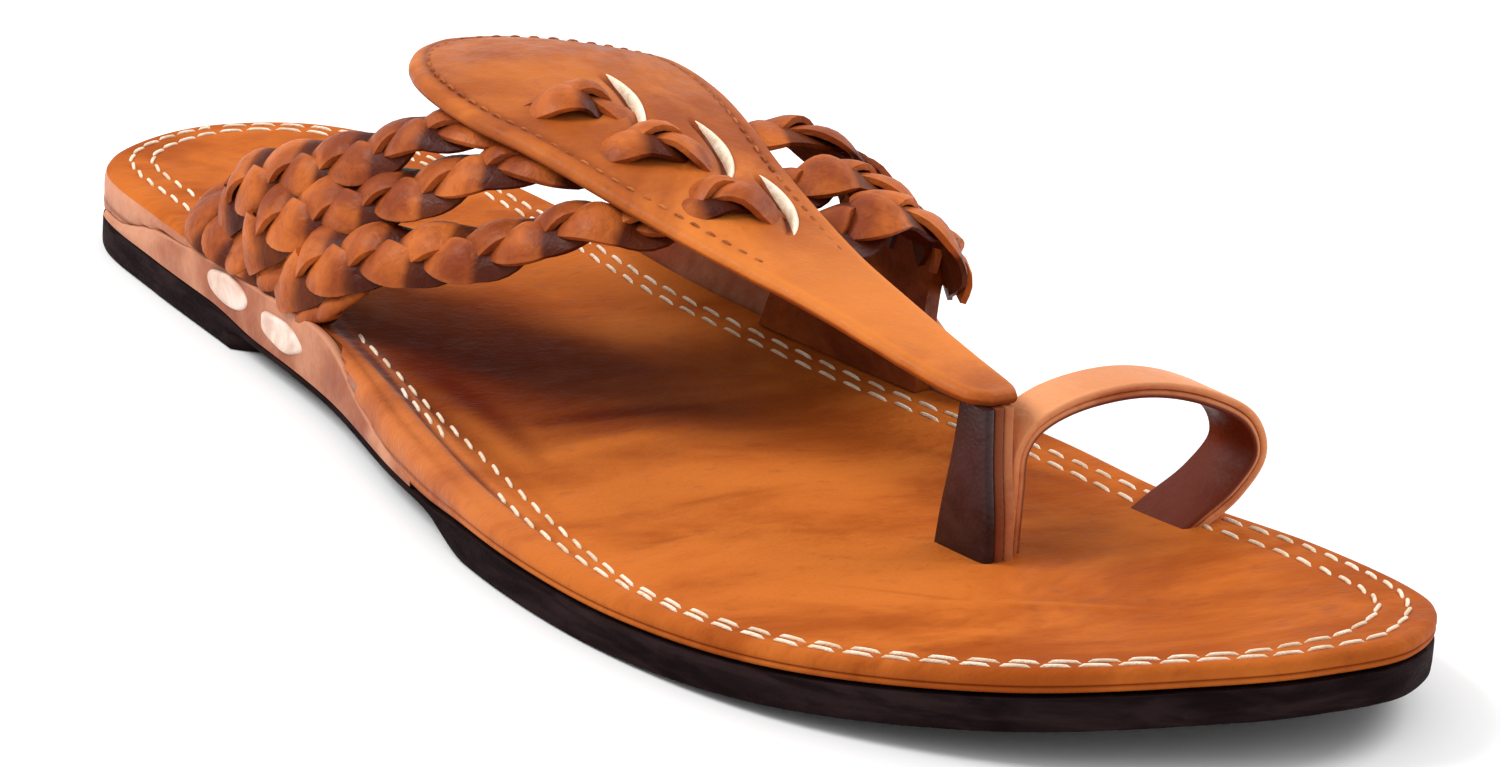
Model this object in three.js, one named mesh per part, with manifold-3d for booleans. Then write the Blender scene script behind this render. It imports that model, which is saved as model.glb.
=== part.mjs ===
// Kolhapuri sandal for the right foot: stacked leather sole, spade-shaped vamp on a toe post,
// a toe ring, and three flat plaits that run through slits in the vamp to a side panel each side.
// Millimetres, +Z up. X runs from heel to toes and +Y is the big-toe side.

import * as THREE from 'three';
import { mergeVertices } from 'three/addons/utils/BufferGeometryUtils.js';
import Module from 'manifold-3d';

const wasm = await Module();
wasm.setup();

// Driving dimensions of the sole
const soleLength = 280;
const ballWidth = 100;
const fit = 0.3;
const heelLiftHeight = 2.8;
const heelLiftLength = 80;
const heelBreastCurve = 4;
const outsoleHeel = 2.1;
const outsoleWaist = 1.0;
const outsoleThick = 4.8;
const midsoleThick = 5.8;
const midsoleThin = 0.9;
const insoleThickness = 2.0;
const toeSpring = 6.8;
const edgeBevel = 0.6;
const rimRound = 1.5;

// Driving dimensions of the upper
const instepHeight = 39;
const vampWidth = 46;
const vampThickness = 2.2;
const vampCrown = 3.1;
const panelThickness = 1.8;
const panelLean = 0.1;
const plaitWidth = 10.4;
const plaitThickness = 3.2;
const plaitPitch = 35;
const edgePlaitWidth = 13;
const edgePlaitThickness = 4.4;
const edgePlaitTilt = 35;
const wallThickness = 3;
const discLength = 16;
const discHeight = 4.9;
const discRise = 4.2;
const discProud = 0.4;
const postThickness = 5;
const ringThickness = 2.4;
const ringWidth = 11.6;

// Where the sole changes height, as shares of its length
const archStart = 0.250;
const archEnd = 0.643;
const waistStart = 0.240;
const waistEnd = 0.310;
const rampStart = 0.560;
const rampEnd = 0.620;
const springStart = 0.715;

// The sole's outline from the heel round the little-toe side, as shares of length and ball width
const OUTLINE = [
  { along: 0.000, across: 0.000 },
  { along: 0.027, across: -0.176 },
  { along: 0.073, across: -0.278 },
  { along: 0.161, across: -0.319 },
  { along: 0.286, across: -0.356 },
  { along: 0.410, across: -0.402 },
  { along: 0.534, across: -0.485 },
  { along: 0.660, across: -0.538 },
  { along: 0.768, across: -0.528 },
  { along: 0.860, across: -0.452 },
  { along: 0.939, across: -0.280 },
  { along: 0.983, across: -0.058 },
  { along: 0.998, across: 0.084 },
  { along: 0.994, across: 0.242 },
  { along: 0.941, across: 0.402 },
  { along: 0.839, across: 0.468 },
  { along: 0.732, across: 0.443 },
  { along: 0.627, across: 0.440 },
  { along: 0.501, across: 0.375 },
  { along: 0.375, across: 0.317 },
  { along: 0.250, across: 0.322 },
  { along: 0.143, across: 0.316 },
  { along: 0.063, across: 0.279 },
  { along: 0.013, across: 0.177 },
];
const SAMPLES = 72;

// The insole's rounded rim: inset as a share of its rounding, height as a share of its thickness
const RIM = [
  { inset: 0, share: 0.3 },
  { inset: 0, share: 0.65 },
  { inset: 0.3, share: 0.9 },
  { inset: 1, share: 1 },
];

// The vamp from tip to rear: height over the insole and reach to each side, as shares
const VAMP = [
  { along: 0.775, height: 0.553, little: 0.057, big: 0.030 },
  { along: 0.764, height: 0.557, little: 0.109, big: 0.070 },
  { along: 0.732, height: 0.590, little: 0.141, big: 0.100 },
  { along: 0.679, height: 0.657, little: 0.186, big: 0.127 },
  { along: 0.629, height: 0.726, little: 0.241, big: 0.155 },
  { along: 0.579, height: 0.795, little: 0.309, big: 0.216 },
  { along: 0.525, height: 0.872, little: 0.391, big: 0.292 },
  { along: 0.471, height: 0.943, little: 0.464, big: 0.382 },
  { along: 0.429, height: 0.968, little: 0.500, big: 0.452 },
  { along: 0.386, height: 0.977, little: 0.489, big: 0.480 },
  { along: 0.350, height: 0.944, little: 0.409, big: 0.470 },
  { along: 0.321, height: 0.906, little: 0.284, big: 0.386 },
  { along: 0.304, height: 0.878, little: 0.148, big: 0.250 },
  { along: 0.296, height: 0.867, little: 0.045, big: 0.091 },
];
const VAMP_AXIS = { rear: 0.357, front: 0.768, frontAcross: 0.042 };
const VAMP_STATIONS = 24;
const VAMP_ACROSS = 4;
const VAMP_CROWDING = 0.75;

// The side panels' top edges: height over the ground as a share of the heel seat's height
const LITTLE_PANEL = [
  { along: 0.070, top: 0.48 },
  { along: 0.110, top: 0.55 },
  { along: 0.157, top: 0.74 },
  { along: 0.238, top: 0.86 },
  { along: 0.314, top: 0.92 },
  { along: 0.368, top: 0.97 },
  { along: 0.400, top: 0.95 },
  { along: 0.425, top: 0.82 },
  { along: 0.450, top: 0.64 },
  { along: 0.480, top: 0.54 },
  { along: 0.548, top: 0.39 },
];
const BIG_PANEL = [
  { along: 0.070, top: 0.48 },
  { along: 0.140, top: 0.68 },
  { along: 0.240, top: 0.90 },
  { along: 0.290, top: 1.04 },
  { along: 0.340, top: 1.36 },
  { along: 0.395, top: 1.62 },
  { along: 0.445, top: 1.76 },
  { along: 0.500, top: 1.80 },
  { along: 0.535, top: 1.56 },
  { along: 0.570, top: 1.10 },
  { along: 0.605, top: 0.74 },
  { along: 0.650, top: 0.44 },
];
const DISC_PLACES = [{ side: 'little', along: [0.268, 0.343] }, { side: 'big', along: [0.268, 0.343] }];

// Centre lines of the plaits: over gives the height above the insole as a share of the instep
// height, level the place above (1) or below (-1) the vamp, lean the outward tilt in degrees
const PLAITS = [
  [
    { along: 0.229, across: -0.285, over: 0.125, lean: -60 },
    { along: 0.257, across: -0.318, over: 0.270, lean: -60 },
    { along: 0.300, across: -0.302, over: 0.430, lean: -55 },
    { along: 0.357, across: -0.260, over: 0.610, lean: -45 },
    { along: 0.395, across: -0.222, level: -1.3, lean: -25 },
    { along: 0.415, across: -0.195, level: -1.1, lean: -15 },
    { along: 0.430, across: -0.160, level: -0.95, lean: -10 },
    { along: 0.441, across: -0.122, level: 0.05, lean: -5 },
    { along: 0.447, across: -0.090, level: 0.85, lean: 0 },
    { along: 0.451, across: -0.062, level: 0.9, lean: 0 },
    { along: 0.456, across: -0.030, level: 0, lean: 5 },
    { along: 0.461, across: 0.015, level: -1, lean: 8 },
    { along: 0.462, across: 0.160, level: -1.35, lean: 15 },
    { along: 0.470, across: 0.281, over: 0.835, lean: 45 },
    { along: 0.484, across: 0.362, over: 0.720, lean: 70 },
    { along: 0.496, across: 0.386, over: 0.580, lean: 85 },
    { along: 0.500, across: 0.384, over: 0.450, lean: 90 },
  ],
  [
    { along: 0.279, across: -0.314, over: 0.125, lean: -60 },
    { along: 0.300, across: -0.344, over: 0.225, lean: -60 },
    { along: 0.357, across: -0.306, over: 0.420, lean: -55 },
    { along: 0.414, across: -0.255, over: 0.611, lean: -45 },
    { along: 0.452, across: -0.198, level: -1.25, lean: -25 },
    { along: 0.469, across: -0.161, level: -1.1, lean: -15 },
    { along: 0.483, across: -0.123, level: -0.95, lean: -10 },
    { along: 0.494, across: -0.081, level: 0.05, lean: -5 },
    { along: 0.500, across: -0.046, level: 0.85, lean: 0 },
    { along: 0.505, across: -0.014, level: 0.9, lean: 0 },
    { along: 0.510, across: 0.020, level: 0, lean: 5 },
    { along: 0.514, across: 0.064, level: -1, lean: 8 },
    { along: 0.519, across: 0.152, level: -1.15, lean: 20 },
    { along: 0.520, across: 0.260, over: 0.800, lean: 45 },
    { along: 0.527, across: 0.345, over: 0.700, lean: 70 },
    { along: 0.531, across: 0.388, over: 0.570, lean: 85 },
    { along: 0.528, across: 0.390, over: 0.440, lean: 90 },
  ],
  [
    { along: 0.329, across: -0.326, over: 0.125, lean: -60 },
    { along: 0.354, across: -0.356, over: 0.190, lean: -60 },
    { along: 0.400, across: -0.334, over: 0.330, lean: -55 },
    { along: 0.471, across: -0.250, over: 0.510, lean: -45 },
    { along: 0.519, across: -0.170, level: -1.25, lean: -25 },
    { along: 0.535, across: -0.125, level: -1.1, lean: -15 },
    { along: 0.545, across: -0.095, level: -0.95, lean: -10 },
    { along: 0.554, across: -0.052, level: 0.05, lean: -5 },
    { along: 0.558, across: -0.024, level: 0.85, lean: 0 },
    { along: 0.562, across: 0.002, level: 0.9, lean: 0 },
    { along: 0.566, across: 0.033, level: 0, lean: 5 },
    { along: 0.568, across: 0.076, level: -1, lean: 8 },
    { along: 0.568, across: 0.150, level: -1.15, lean: 20 },
    { along: 0.564, across: 0.255, over: 0.770, lean: 45 },
    { along: 0.563, across: 0.343, over: 0.655, lean: 70 },
    { along: 0.560, across: 0.394, over: 0.540, lean: 85 },
    { along: 0.552, across: 0.404, over: 0.430, lean: 90 },
  ],
];
const EDGE_PLAIT_ALONG = [0.207, 0.243, 0.286, 0.329, 0.370];

// The wall that gathers the plaits' ends on the big-toe side, by height over the insole
const WALL = [
  { over: 0.006, inset: 4.0, from: 0.442, to: 0.575 },
  { over: 0.163, inset: 3.4, from: 0.448, to: 0.571 },
  { over: 0.378, inset: 2.1, from: 0.462, to: 0.564 },
  { over: 0.470, inset: 0.3, from: 0.473, to: 0.560 },
  { over: 0.600, inset: -1.0, from: 0.480, to: 0.556 },
];
const WALL_STATIONS = 6;

// The toe post from its foot to its head, and the toe ring from beside the post to its foot
const POST = [
  { share: 0.0, rear: 0.745, front: 0.787 },
  { share: 0.3, rear: 0.748, front: 0.785 },
  { share: 0.65, rear: 0.753, front: 0.780 },
  { share: 1.0, rear: 0.756, front: 0.777 },
];
const RING_ALONG = 0.767;
const RING = [
  { across: 0.065, over: 0.235, width: 0.60 },
  { across: 0.066, over: 0.350, width: 0.60 },
  { across: 0.084, over: 0.430, width: 0.62 },
  { across: 0.140, over: 0.500, width: 0.66 },
  { across: 0.262, over: 0.530, width: 0.72 },
  { across: 0.375, over: 0.470, width: 0.79 },
  { across: 0.455, over: 0.360, width: 0.86 },
  { across: 0.474, over: 0.235, width: 0.91 },
  { across: 0.435, over: 0.110, width: 0.97 },
  { across: 0.377, over: 0.020, width: 1.00 },
];
const RING_STEPS = 24;

// A plait's strands, and the room cut for a plait in the vamp
const strandWidthShare = 0.54;
const strandThicknessShare = 0.6;
const STRAND_STATIONS = 6;
const STRAND_LOOK = 0.2;
const ROOM = { from: 0.3, to: 0.75, stations: 14, clearances: 1.5, corner: 0.85, shoulder: 0.6 };

// Small mathematics
const clamp = THREE.MathUtils.clamp;
const lerp = THREE.MathUtils.lerp;
const rad = THREE.MathUtils.degToRad;
const ease = (value, from, to) => THREE.MathUtils.smoothstep(value, from, to);

// A value from a table at a share along, on smooth curves through its rows
function read(table, key, along) {
  const rows = table[0].along < table.at(-1).along ? table : [...table].reverse();
  let i = 0;
  while (i < rows.length - 2 && along > rows[i + 1].along) i += 1;
  const [a, b] = [rows[i], rows[i + 1]];
  const before = rows[Math.max(i - 1, 0)];
  const after = rows[Math.min(i + 2, rows.length - 1)];
  const t = clamp((along - a.along) / (b.along - a.along), 0, 1);
  const span = b.along - a.along;
  const slopeA = i > 0 ? (b[key] - before[key]) / (b.along - before.along) : (b[key] - a[key]) / span;
  const slopeB = i < rows.length - 2 ? (after[key] - a[key]) / (after.along - a.along) : (b[key] - a[key]) / span;
  const t2 = t * t;
  const t3 = t2 * t;
  return (2 * t3 - 3 * t2 + 1) * a[key] + (t3 - 2 * t2 + t) * span * slopeA
    + (3 * t2 - 2 * t3) * b[key] + (t3 - t2) * span * slopeB;
}

// Heights of the sole's layers over the ground at a place x
const arch = (x) => ease(x / soleLength, archStart, archEnd);
const spring = (x) => toeSpring * Math.max(0, (x / soleLength - springStart) / (1 - springStart)) ** 2;
const liftTop = heelLiftHeight + fit;
const outsoleBottom = (x) => liftTop * (1 - ease(x / soleLength, rampStart, rampEnd)) + spring(x);
const outsoleTop = (x) => {
  const share = x / soleLength;
  const rear = liftTop + lerp(outsoleHeel, outsoleWaist, ease(share, waistStart, waistEnd));
  return lerp(rear, outsoleThick, ease(share, rampStart, rampEnd)) + spring(x);
};
const midsoleBottom = (x) => outsoleTop(x) + fit;
const midsoleHeelTop = liftTop + outsoleHeel + fit + midsoleThick;
const midsoleToeTop = outsoleThick + fit + midsoleThin;
const midsoleTop = (x) => lerp(midsoleHeelTop, midsoleToeTop, arch(x)) + spring(x);
const insoleBottom = (x) => midsoleTop(x) + fit;
const insoleTop = (x) => insoleBottom(x) + insoleThickness;
const heelSeat = insoleTop(0);

// The sole's outline: place and outward direction of each sample, heel tip first
const outlineCurve = new THREE.CatmullRomCurve3(
  OUTLINE.map((row) => new THREE.Vector3(row.along * soleLength, row.across * ballWidth, 0)),
  true,
  'catmullrom',
  0.5,
);
const outline = Array.from({ length: SAMPLES }, (_, i) => {
  const tangent = outlineCurve.getTangent(i / SAMPLES);
  return { at: outlineCurve.getPoint(i / SAMPLES), out: new THREE.Vector3(tangent.y, -tangent.x, 0) };
});
const TOE = SAMPLES / 2;

// A point of the outline set in by a distance
function setIn(sample, inset) {
  return sample.at.clone().addScaledVector(sample.out, -inset);
}

// The outline at a share along, on the little-toe or big-toe side
function edgeAt(side, along) {
  const x = along * soleLength;
  const order = side === 'little' ? outline.slice(0, TOE + 1) : [outline[0], ...outline.slice(TOE).reverse()];
  let i = 0;
  while (i < order.length - 2 && order[i + 1].at.x < x) i += 1;
  const [a, b] = [order[i], order[i + 1]];
  const t = clamp((x - a.at.x) / (b.at.x - a.at.x), 0, 1);
  return { at: a.at.clone().lerp(b.at, t), out: a.out.clone().lerp(b.out, t).normalize() };
}

// A closed geometry through rings of as many points each; caps close the first and last ring
function loft(rings, caps) {
  const count = rings[0].length;
  const position = rings.flat().flatMap((p) => [p.x, p.y, p.z]);
  const index = [];
  for (let r = 0; r < rings.length - 1; r += 1) {
    for (let j = 0; j < count; j += 1) {
      const a = r * count + j;
      const b = r * count + (j + 1) % count;
      index.push(a, b, b + count, a, b + count, a + count);
    }
  }
  const last = (rings.length - 1) * count;
  for (const [a, b, c] of caps(count)) {
    index.push(a, c, b, last + a, last + b, last + c);
  }
  const geometry = new THREE.BufferGeometry();
  geometry.setAttribute('position', new THREE.Float32BufferAttribute(position, 3));
  geometry.setIndex(index);
  return volume(geometry) < 0 ? flipped(geometry) : geometry;
}

function volume(geometry) {
  const p = geometry.attributes.position;
  const [a, b, c] = [new THREE.Vector3(), new THREE.Vector3(), new THREE.Vector3()];
  let sum = 0;
  for (let i = 0; i < geometry.index.count; i += 3) {
    a.fromBufferAttribute(p, geometry.index.getX(i));
    b.fromBufferAttribute(p, geometry.index.getX(i + 1));
    c.fromBufferAttribute(p, geometry.index.getX(i + 2));
    sum += a.dot(b.cross(c));
  }
  return sum / 6;
}

function flipped(geometry) {
  const index = Array.from(geometry.index.array);
  for (let i = 0; i < index.length; i += 3) {
    [index[i + 1], index[i + 2]] = [index[i + 2], index[i + 1]];
  }
  geometry.setIndex(index);
  return geometry;
}

// Caps: a fan for convex rings, rungs between the two sides of a long ring
const fan = (count) => Array.from({ length: count - 2 }, (_, i) => [0, i + 1, i + 2]);
function rungs(count) {
  const faces = [];
  for (let i = 0; i < count / 2; i += 1) {
    const [a, b, c, d] = [i, i + 1, count - i - 1, (count - i) % count];
    if (b !== c) faces.push([a, b, c]);
    if (a !== d) faces.push([a, c, d]);
  }
  return faces;
}
function strip(count) {
  const faces = [];
  for (let i = 0; i < count / 2 - 1; i += 1) {
    faces.push([i, i + 1, count - i - 2], [i, count - i - 2, count - i - 1]);
  }
  return faces;
}

// Joining and cutting
function solid(geometry) {
  const bare = geometry.clone();
  bare.deleteAttribute('normal');
  bare.deleteAttribute('uv');
  const merged = mergeVertices(bare, 1e-4);
  return new wasm.Manifold(new wasm.Mesh({
    numProp: 3,
    vertProperties: new Float32Array(merged.attributes.position.array),
    triVerts: new Uint32Array(merged.index.array),
  }));
}

function geometryOf(body) {
  const mesh = body.getMesh();
  const geometry = new THREE.BufferGeometry();
  geometry.setAttribute('position', new THREE.Float32BufferAttribute(mesh.vertProperties, 3));
  geometry.setIndex(Array.from(mesh.triVerts));
  return geometry;
}

// The outer skin of a body, so that pockets between its crossing strands are filled
function outerSkin(body) {
  const geometry = geometryOf(body);
  const source = Array.from(geometry.index.array);
  const parent = Array.from({ length: geometry.attributes.position.count }, (_, i) => i);
  const root = (i) => {
    let top = i;
    while (parent[top] !== top) top = parent[top];
    parent[i] = top;
    return top;
  };
  for (let i = 0; i < source.length; i += 3) {
    parent[root(source[i + 1])] = root(source[i]);
    parent[root(source[i + 2])] = root(source[i]);
  }
  const shells = new Map();
  for (let i = 0; i < source.length; i += 3) {
    const key = root(source[i]);
    if (!shells.has(key)) shells.set(key, []);
    shells.get(key).push(source[i], source[i + 1], source[i + 2]);
  }
  const largest = [...shells.values()].sort((a, b) => b.length - a.length)[0];
  geometry.setIndex(largest);
  return geometry;
}

// A layer of the sole: rings round the outline, each with its inset and its height over x
function layer(rings) {
  return loft(rings.map(({ inset, height }) => outline.map((sample) => {
    const p = setIn(sample, inset);
    return p.setZ(height(p.x));
  })), rungs);
}

function outsoleGeometry() {
  return layer([
    { inset: edgeBevel, height: outsoleBottom },
    { inset: 0, height: (x) => outsoleBottom(x) + edgeBevel },
    { inset: 0, height: outsoleTop },
  ]);
}

// The heel block under the outsole, with a curved breast
function heelLiftGeometry() {
  const side = outline.filter((sample) => sample.at.x < heelLiftLength - heelBreastCurve);
  const little = side.filter((sample) => sample.at.y <= 0);
  const big = side.filter((sample) => sample.at.y > 0);
  const breast = Array.from({ length: 9 }, (_, i) => (i - 4) / 4);
  const ring = (inset, z, front) => {
    const half = [...little, ...big].map((sample) => setIn(sample, inset));
    const width = edgeAt('big', heelLiftLength / soleLength).at.y - inset;
    const face = breast.map((t) => new THREE.Vector3(
      front - heelBreastCurve * (1 - t * t),
      t * width,
      0,
    ));
    return [...half.slice(0, little.length), ...face, ...half.slice(little.length)].map((p) => p.setZ(z));
  };
  const flatCap = () => THREE.ShapeUtils.triangulateShape(
    ring(0, 0, heelLiftLength).map((p) => new THREE.Vector2(p.x, p.y)),
    [],
  );
  return loft([
    ring(edgeBevel + fit, 0, heelLiftLength - 2 * edgeBevel),
    ring(fit, edgeBevel, heelLiftLength - edgeBevel),
    ring(fit, heelLiftHeight, heelLiftLength),
  ], flatCap);
}

// A side panel: a leather sheet round the sole's side, grown by a clearance where it cuts
function panelGeometry(side, grow) {
  const table = side === 'little' ? LITTLE_PANEL : BIG_PANEL;
  const [first, last] = [table[0].along * soleLength - grow, table.at(-1).along * soleLength + grow];
  const inner = outline.filter((sample) => (side === 'little' ? sample.at.y < 0 : sample.at.y > 0)
    && sample.at.x > first + 1 && sample.at.x < last - 1);
  const ordered = inner.sort((a, b) => a.at.x - b.at.x);
  const samples = [edgeAt(side, first / soleLength), ...ordered, edgeAt(side, last / soleLength)];
  return loft(samples.map((sample) => {
    const x = clamp(sample.at.x, table[0].along * soleLength, table.at(-1).along * soleLength);
    const top = read(table, 'top', x / soleLength) * heelSeat + grow;
    const bottom = midsoleBottom(sample.at.x) - grow;
    const lean = panelLean * Math.max(0, top - insoleTop(sample.at.x));
    const step = Math.min(insoleTop(sample.at.x), top - 0.01);
    const outer = grow > 0 ? -panelThickness : 0;
    return [
      setIn(sample, outer).setZ(bottom),
      setIn(sample, outer).setZ(step),
      setIn(sample, outer - lean).setZ(top),
      setIn(sample, panelThickness + grow - lean).setZ(top),
      setIn(sample, panelThickness + grow).setZ(step),
      setIn(sample, panelThickness + grow).setZ(bottom),
    ];
  }), fan);
}

// A pale oval plug in a side panel, grown by a clearance where it cuts
function discGeometry(side, along, grow) {
  const { at, out } = edgeAt(side, along);
  const oval = new THREE.Shape();
  oval.absellipse(0, 0, discLength / 2 + grow, discHeight / 2 + grow, 0, 2 * Math.PI, false, 0);
  const depth = panelThickness + discProud + 2 * grow;
  const geometry = new THREE.ExtrudeGeometry(oval, { depth, bevelEnabled: false, curveSegments: 8 });
  const along3 = new THREE.Vector3(0, 0, 1).cross(out).normalize();
  const basis = new THREE.Matrix4().makeBasis(along3, new THREE.Vector3(0, 0, 1), out);
  const middle = midsoleBottom(at.x) + discRise;
  const start = at.clone().addScaledVector(out, -panelThickness - grow).setZ(middle);
  return geometry.applyMatrix4(basis.setPosition(start));
}

// The vamp's middle surface, over any place
const vampAxis = (x) => VAMP_AXIS.frontAcross * ballWidth
  * (x / soleLength - VAMP_AXIS.rear) / (VAMP_AXIS.front - VAMP_AXIS.rear);
const vampHeight = (x) => insoleTop(x) + instepHeight * read(VAMP, 'height', x / soleLength);
const vampAt = (x, y) => vampHeight(x) - vampCrown * ((y - vampAxis(x)) / (vampWidth / 2)) ** 2;

function vampSheet() {
  const [tip, rear] = [VAMP[0].along, VAMP.at(-1).along];
  const rings = Array.from({ length: VAMP_STATIONS + 1 }, (_, i) => {
    const t = i / VAMP_STATIONS;
    const share = t - VAMP_CROWDING * Math.sin(2 * Math.PI * t) / (2 * Math.PI);
    const along = lerp(tip, rear, share);
    const x = along * soleLength;
    const little = read(VAMP, 'little', along) * vampWidth;
    const big = read(VAMP, 'big', along) * vampWidth;
    const across = Array.from({ length: VAMP_ACROSS + 1 }, (_, j) => (
      vampAxis(x) + lerp(-little, big, j / VAMP_ACROSS)));
    const face = (offset) => across.map((y) => new THREE.Vector3(x, y, vampAt(x, y) + offset));
    return [...face(vampThickness / 2), ...face(-vampThickness / 2).reverse()];
  });
  return loft(rings, strip);
}

// A plait's centre line as a curve with an outward direction at each point
function plaitLine(rows) {
  const points = rows.map((row) => {
    const x = row.along * soleLength;
    const y = row.across * ballWidth;
    const clear = (vampThickness + plaitThickness) / 2 + 2 * fit;
    const z = row.level === undefined ? insoleTop(x) + row.over * instepHeight : vampAt(x, y) + row.level * clear;
    return new THREE.Vector3(x, y, z);
  });
  const curve = new THREE.CatmullRomCurve3(points, false, 'centripetal');
  const leans = rows.map((row) => row.lean);
  const frameAt = (t) => {
    const u = curve.getUtoTmapping(t) * (rows.length - 1);
    const i = Math.min(Math.floor(u), rows.length - 2);
    const lean = rad(lerp(leans[i], leans[i + 1], u - i));
    const tangent = curve.getTangentAt(t);
    const out = new THREE.Vector3(0, Math.sin(lean), Math.cos(lean));
    out.addScaledVector(tangent, -out.dot(tangent)).normalize();
    return { at: curve.getPointAt(t), tangent, out, across: tangent.clone().cross(out) };
  };
  return { length: curve.getLength(), frameAt };
}

// A flat plait of three strands that cross over one another, as one solid
function plait(line, width, thickness, pitch) {
  const strandWidth = width * strandWidthShare;
  const strandThickness = thickness * strandThicknessShare;
  const swing = (width - strandWidth) / 2;
  const rise = (thickness - strandThickness) / 2;
  const steps = Math.round(STRAND_STATIONS * line.length / pitch);
  const place = (t, phase) => {
    const f = line.frameAt(t);
    const angle = 2 * Math.PI * (t * line.length / pitch + phase);
    return f.at.clone().addScaledVector(f.across, swing * Math.sin(angle))
      .addScaledVector(f.out, rise * Math.sin(2 * angle));
  };
  const strands = [0, 1 / 3, 2 / 3].map((phase) => {
    const rings = Array.from({ length: steps + 1 }, (_, i) => {
      const t = i / steps;
      const [t0, t1] = [Math.max(0, t - STRAND_LOOK / steps), Math.min(1, t + STRAND_LOOK / steps)];
      const heading = place(t1, phase).sub(place(t0, phase)).normalize();
      const { out } = line.frameAt(t);
      const side = heading.clone().cross(out).normalize();
      const centre = place(t, phase);
      const corner = (w, h) => centre.clone().addScaledVector(side, w * strandWidth / 2)
        .addScaledVector(out, h * strandThickness / 2);
      return [corner(-1, 0), corner(0, 1), corner(1, 0), corner(0, -1)];
    });
    return solid(loft(rings, fan));
  });
  return strands.reduce((all, strand) => all.add(strand));
}

// The room that a plait takes where it runs through the vamp
function plaitRoom(line) {
  const halfWidth = plaitWidth / 2 + ROOM.clearances * fit;
  const halfDepth = plaitThickness / 2 + ROOM.clearances * fit;
  const [c, s] = [ROOM.corner, ROOM.shoulder];
  return solid(loft(Array.from({ length: ROOM.stations + 1 }, (_, i) => {
    const f = line.frameAt(lerp(ROOM.from, ROOM.to, i / ROOM.stations));
    const corner = (w, h) => f.at.clone().addScaledVector(f.across, w * halfWidth)
      .addScaledVector(f.out, h * halfDepth);
    return [
      corner(-1, -s), corner(-1, s), corner(-c, 1), corner(c, 1),
      corner(1, s), corner(1, -s), corner(c, -1), corner(-c, -1),
    ];
  }), fan));
}

// The plait along the sole's little-toe edge that gathers the three plaits' ends
function edgePlaitLine() {
  const tilt = rad(edgePlaitTilt);
  const [halfWidth, halfDepth] = [edgePlaitWidth / 2, edgePlaitThickness / 2];
  const inset = halfWidth * Math.cos(tilt) + halfDepth * Math.sin(tilt);
  const seat = halfWidth * Math.sin(tilt) + halfDepth * Math.cos(tilt) + fit;
  return plaitLine(EDGE_PLAIT_ALONG.map((along) => {
    const p = setIn(edgeAt('little', along), inset);
    return {
      along: p.x / soleLength, across: p.y / ballWidth, over: seat / instepHeight, lean: -edgePlaitTilt,
    };
  }));
}

function wallGeometry() {
  return loft(WALL.map((row) => {
    const samples = Array.from({ length: WALL_STATIONS }, (_, i) => (
      edgeAt('big', lerp(row.from, row.to, i / (WALL_STATIONS - 1)))));
    const face = (offset) => samples.map((sample) => {
      const p = setIn(sample, row.inset + offset);
      return p.setZ(insoleTop(p.x) + row.over * instepHeight);
    });
    return [...face(-wallThickness / 2), ...face(wallThickness / 2).reverse()];
  }), strip);
}

// The toe post, grown by a clearance where it cuts its slot in the insole
function postGeometry(grow) {
  const foot = midsoleTop(POST[0].front * soleLength) + fit;
  const rings = POST.map((row) => {
    const [x0, x1] = [row.rear * soleLength - grow, row.front * soleLength + grow];
    const [y0, y1] = [-grow, postThickness + grow];
    const place = (x, y) => {
      const head = vampAt(x, y) - vampThickness / 2 - fit;
      return new THREE.Vector3(x, y, lerp(foot - grow, head, row.share));
    };
    return [place(x0, y0), place(x1, y0), place(x1, y1), place(x0, y1)];
  });
  return loft(rings, fan);
}

// The toe ring, a strap on edge from beside the post over the big toe and down into the insole
function ringGeometry(grow) {
  const x = RING_ALONG * soleLength;
  const foot = midsoleTop(x + ringWidth) + fit;
  const start = postThickness + fit + ringThickness / 2;
  const stem = [
    new THREE.Vector3(x, start, foot - grow),
    new THREE.Vector3(x, start, lerp(foot, insoleTop(x) + RING[0].over * instepHeight, 0.5)),
  ];
  const arc = RING.map((row) => new THREE.Vector3(
    x,
    Math.max(start, row.across * ballWidth),
    insoleTop(x) + row.over * instepHeight,
  ));
  const [beforeLast, lastPoint] = arc.slice(-2);
  const down = (lastPoint.z - foot + grow) / (beforeLast.z - lastPoint.z);
  const end = lastPoint.clone().addScaledVector(lastPoint.clone().sub(beforeLast), down);
  const widths = [RING[0].width, RING[0].width, ...RING.map((row) => row.width), RING.at(-1).width];
  const curve = new THREE.CatmullRomCurve3([...stem, ...arc, end], false, 'centripetal');
  const lengthwise = new THREE.Vector3(1, 0, 0);
  return loft(Array.from({ length: RING_STEPS + 1 }, (_, i) => {
    const t = i / RING_STEPS;
    const u = curve.getUtoTmapping(t) * (widths.length - 1);
    const k = Math.min(Math.floor(u), widths.length - 2);
    const halfWidth = ringWidth * lerp(widths[k], widths[k + 1], u - k) / 2 + grow;
    const centre = curve.getPointAt(t);
    const flat = i === 0 || i === RING_STEPS;
    const thick = flat ? new THREE.Vector3(0, 1, 0) : curve.getTangentAt(t).cross(lengthwise).normalize();
    if (i === RING_STEPS) thick.negate();
    const corner = (w, h) => centre.clone().addScaledVector(lengthwise, w * halfWidth)
      .addScaledVector(thick, h * (ringThickness / 2 + grow));
    return [corner(-1, -1), corner(1, -1), corner(1, 1), corner(-1, 1)];
  }), fan);
}

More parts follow.
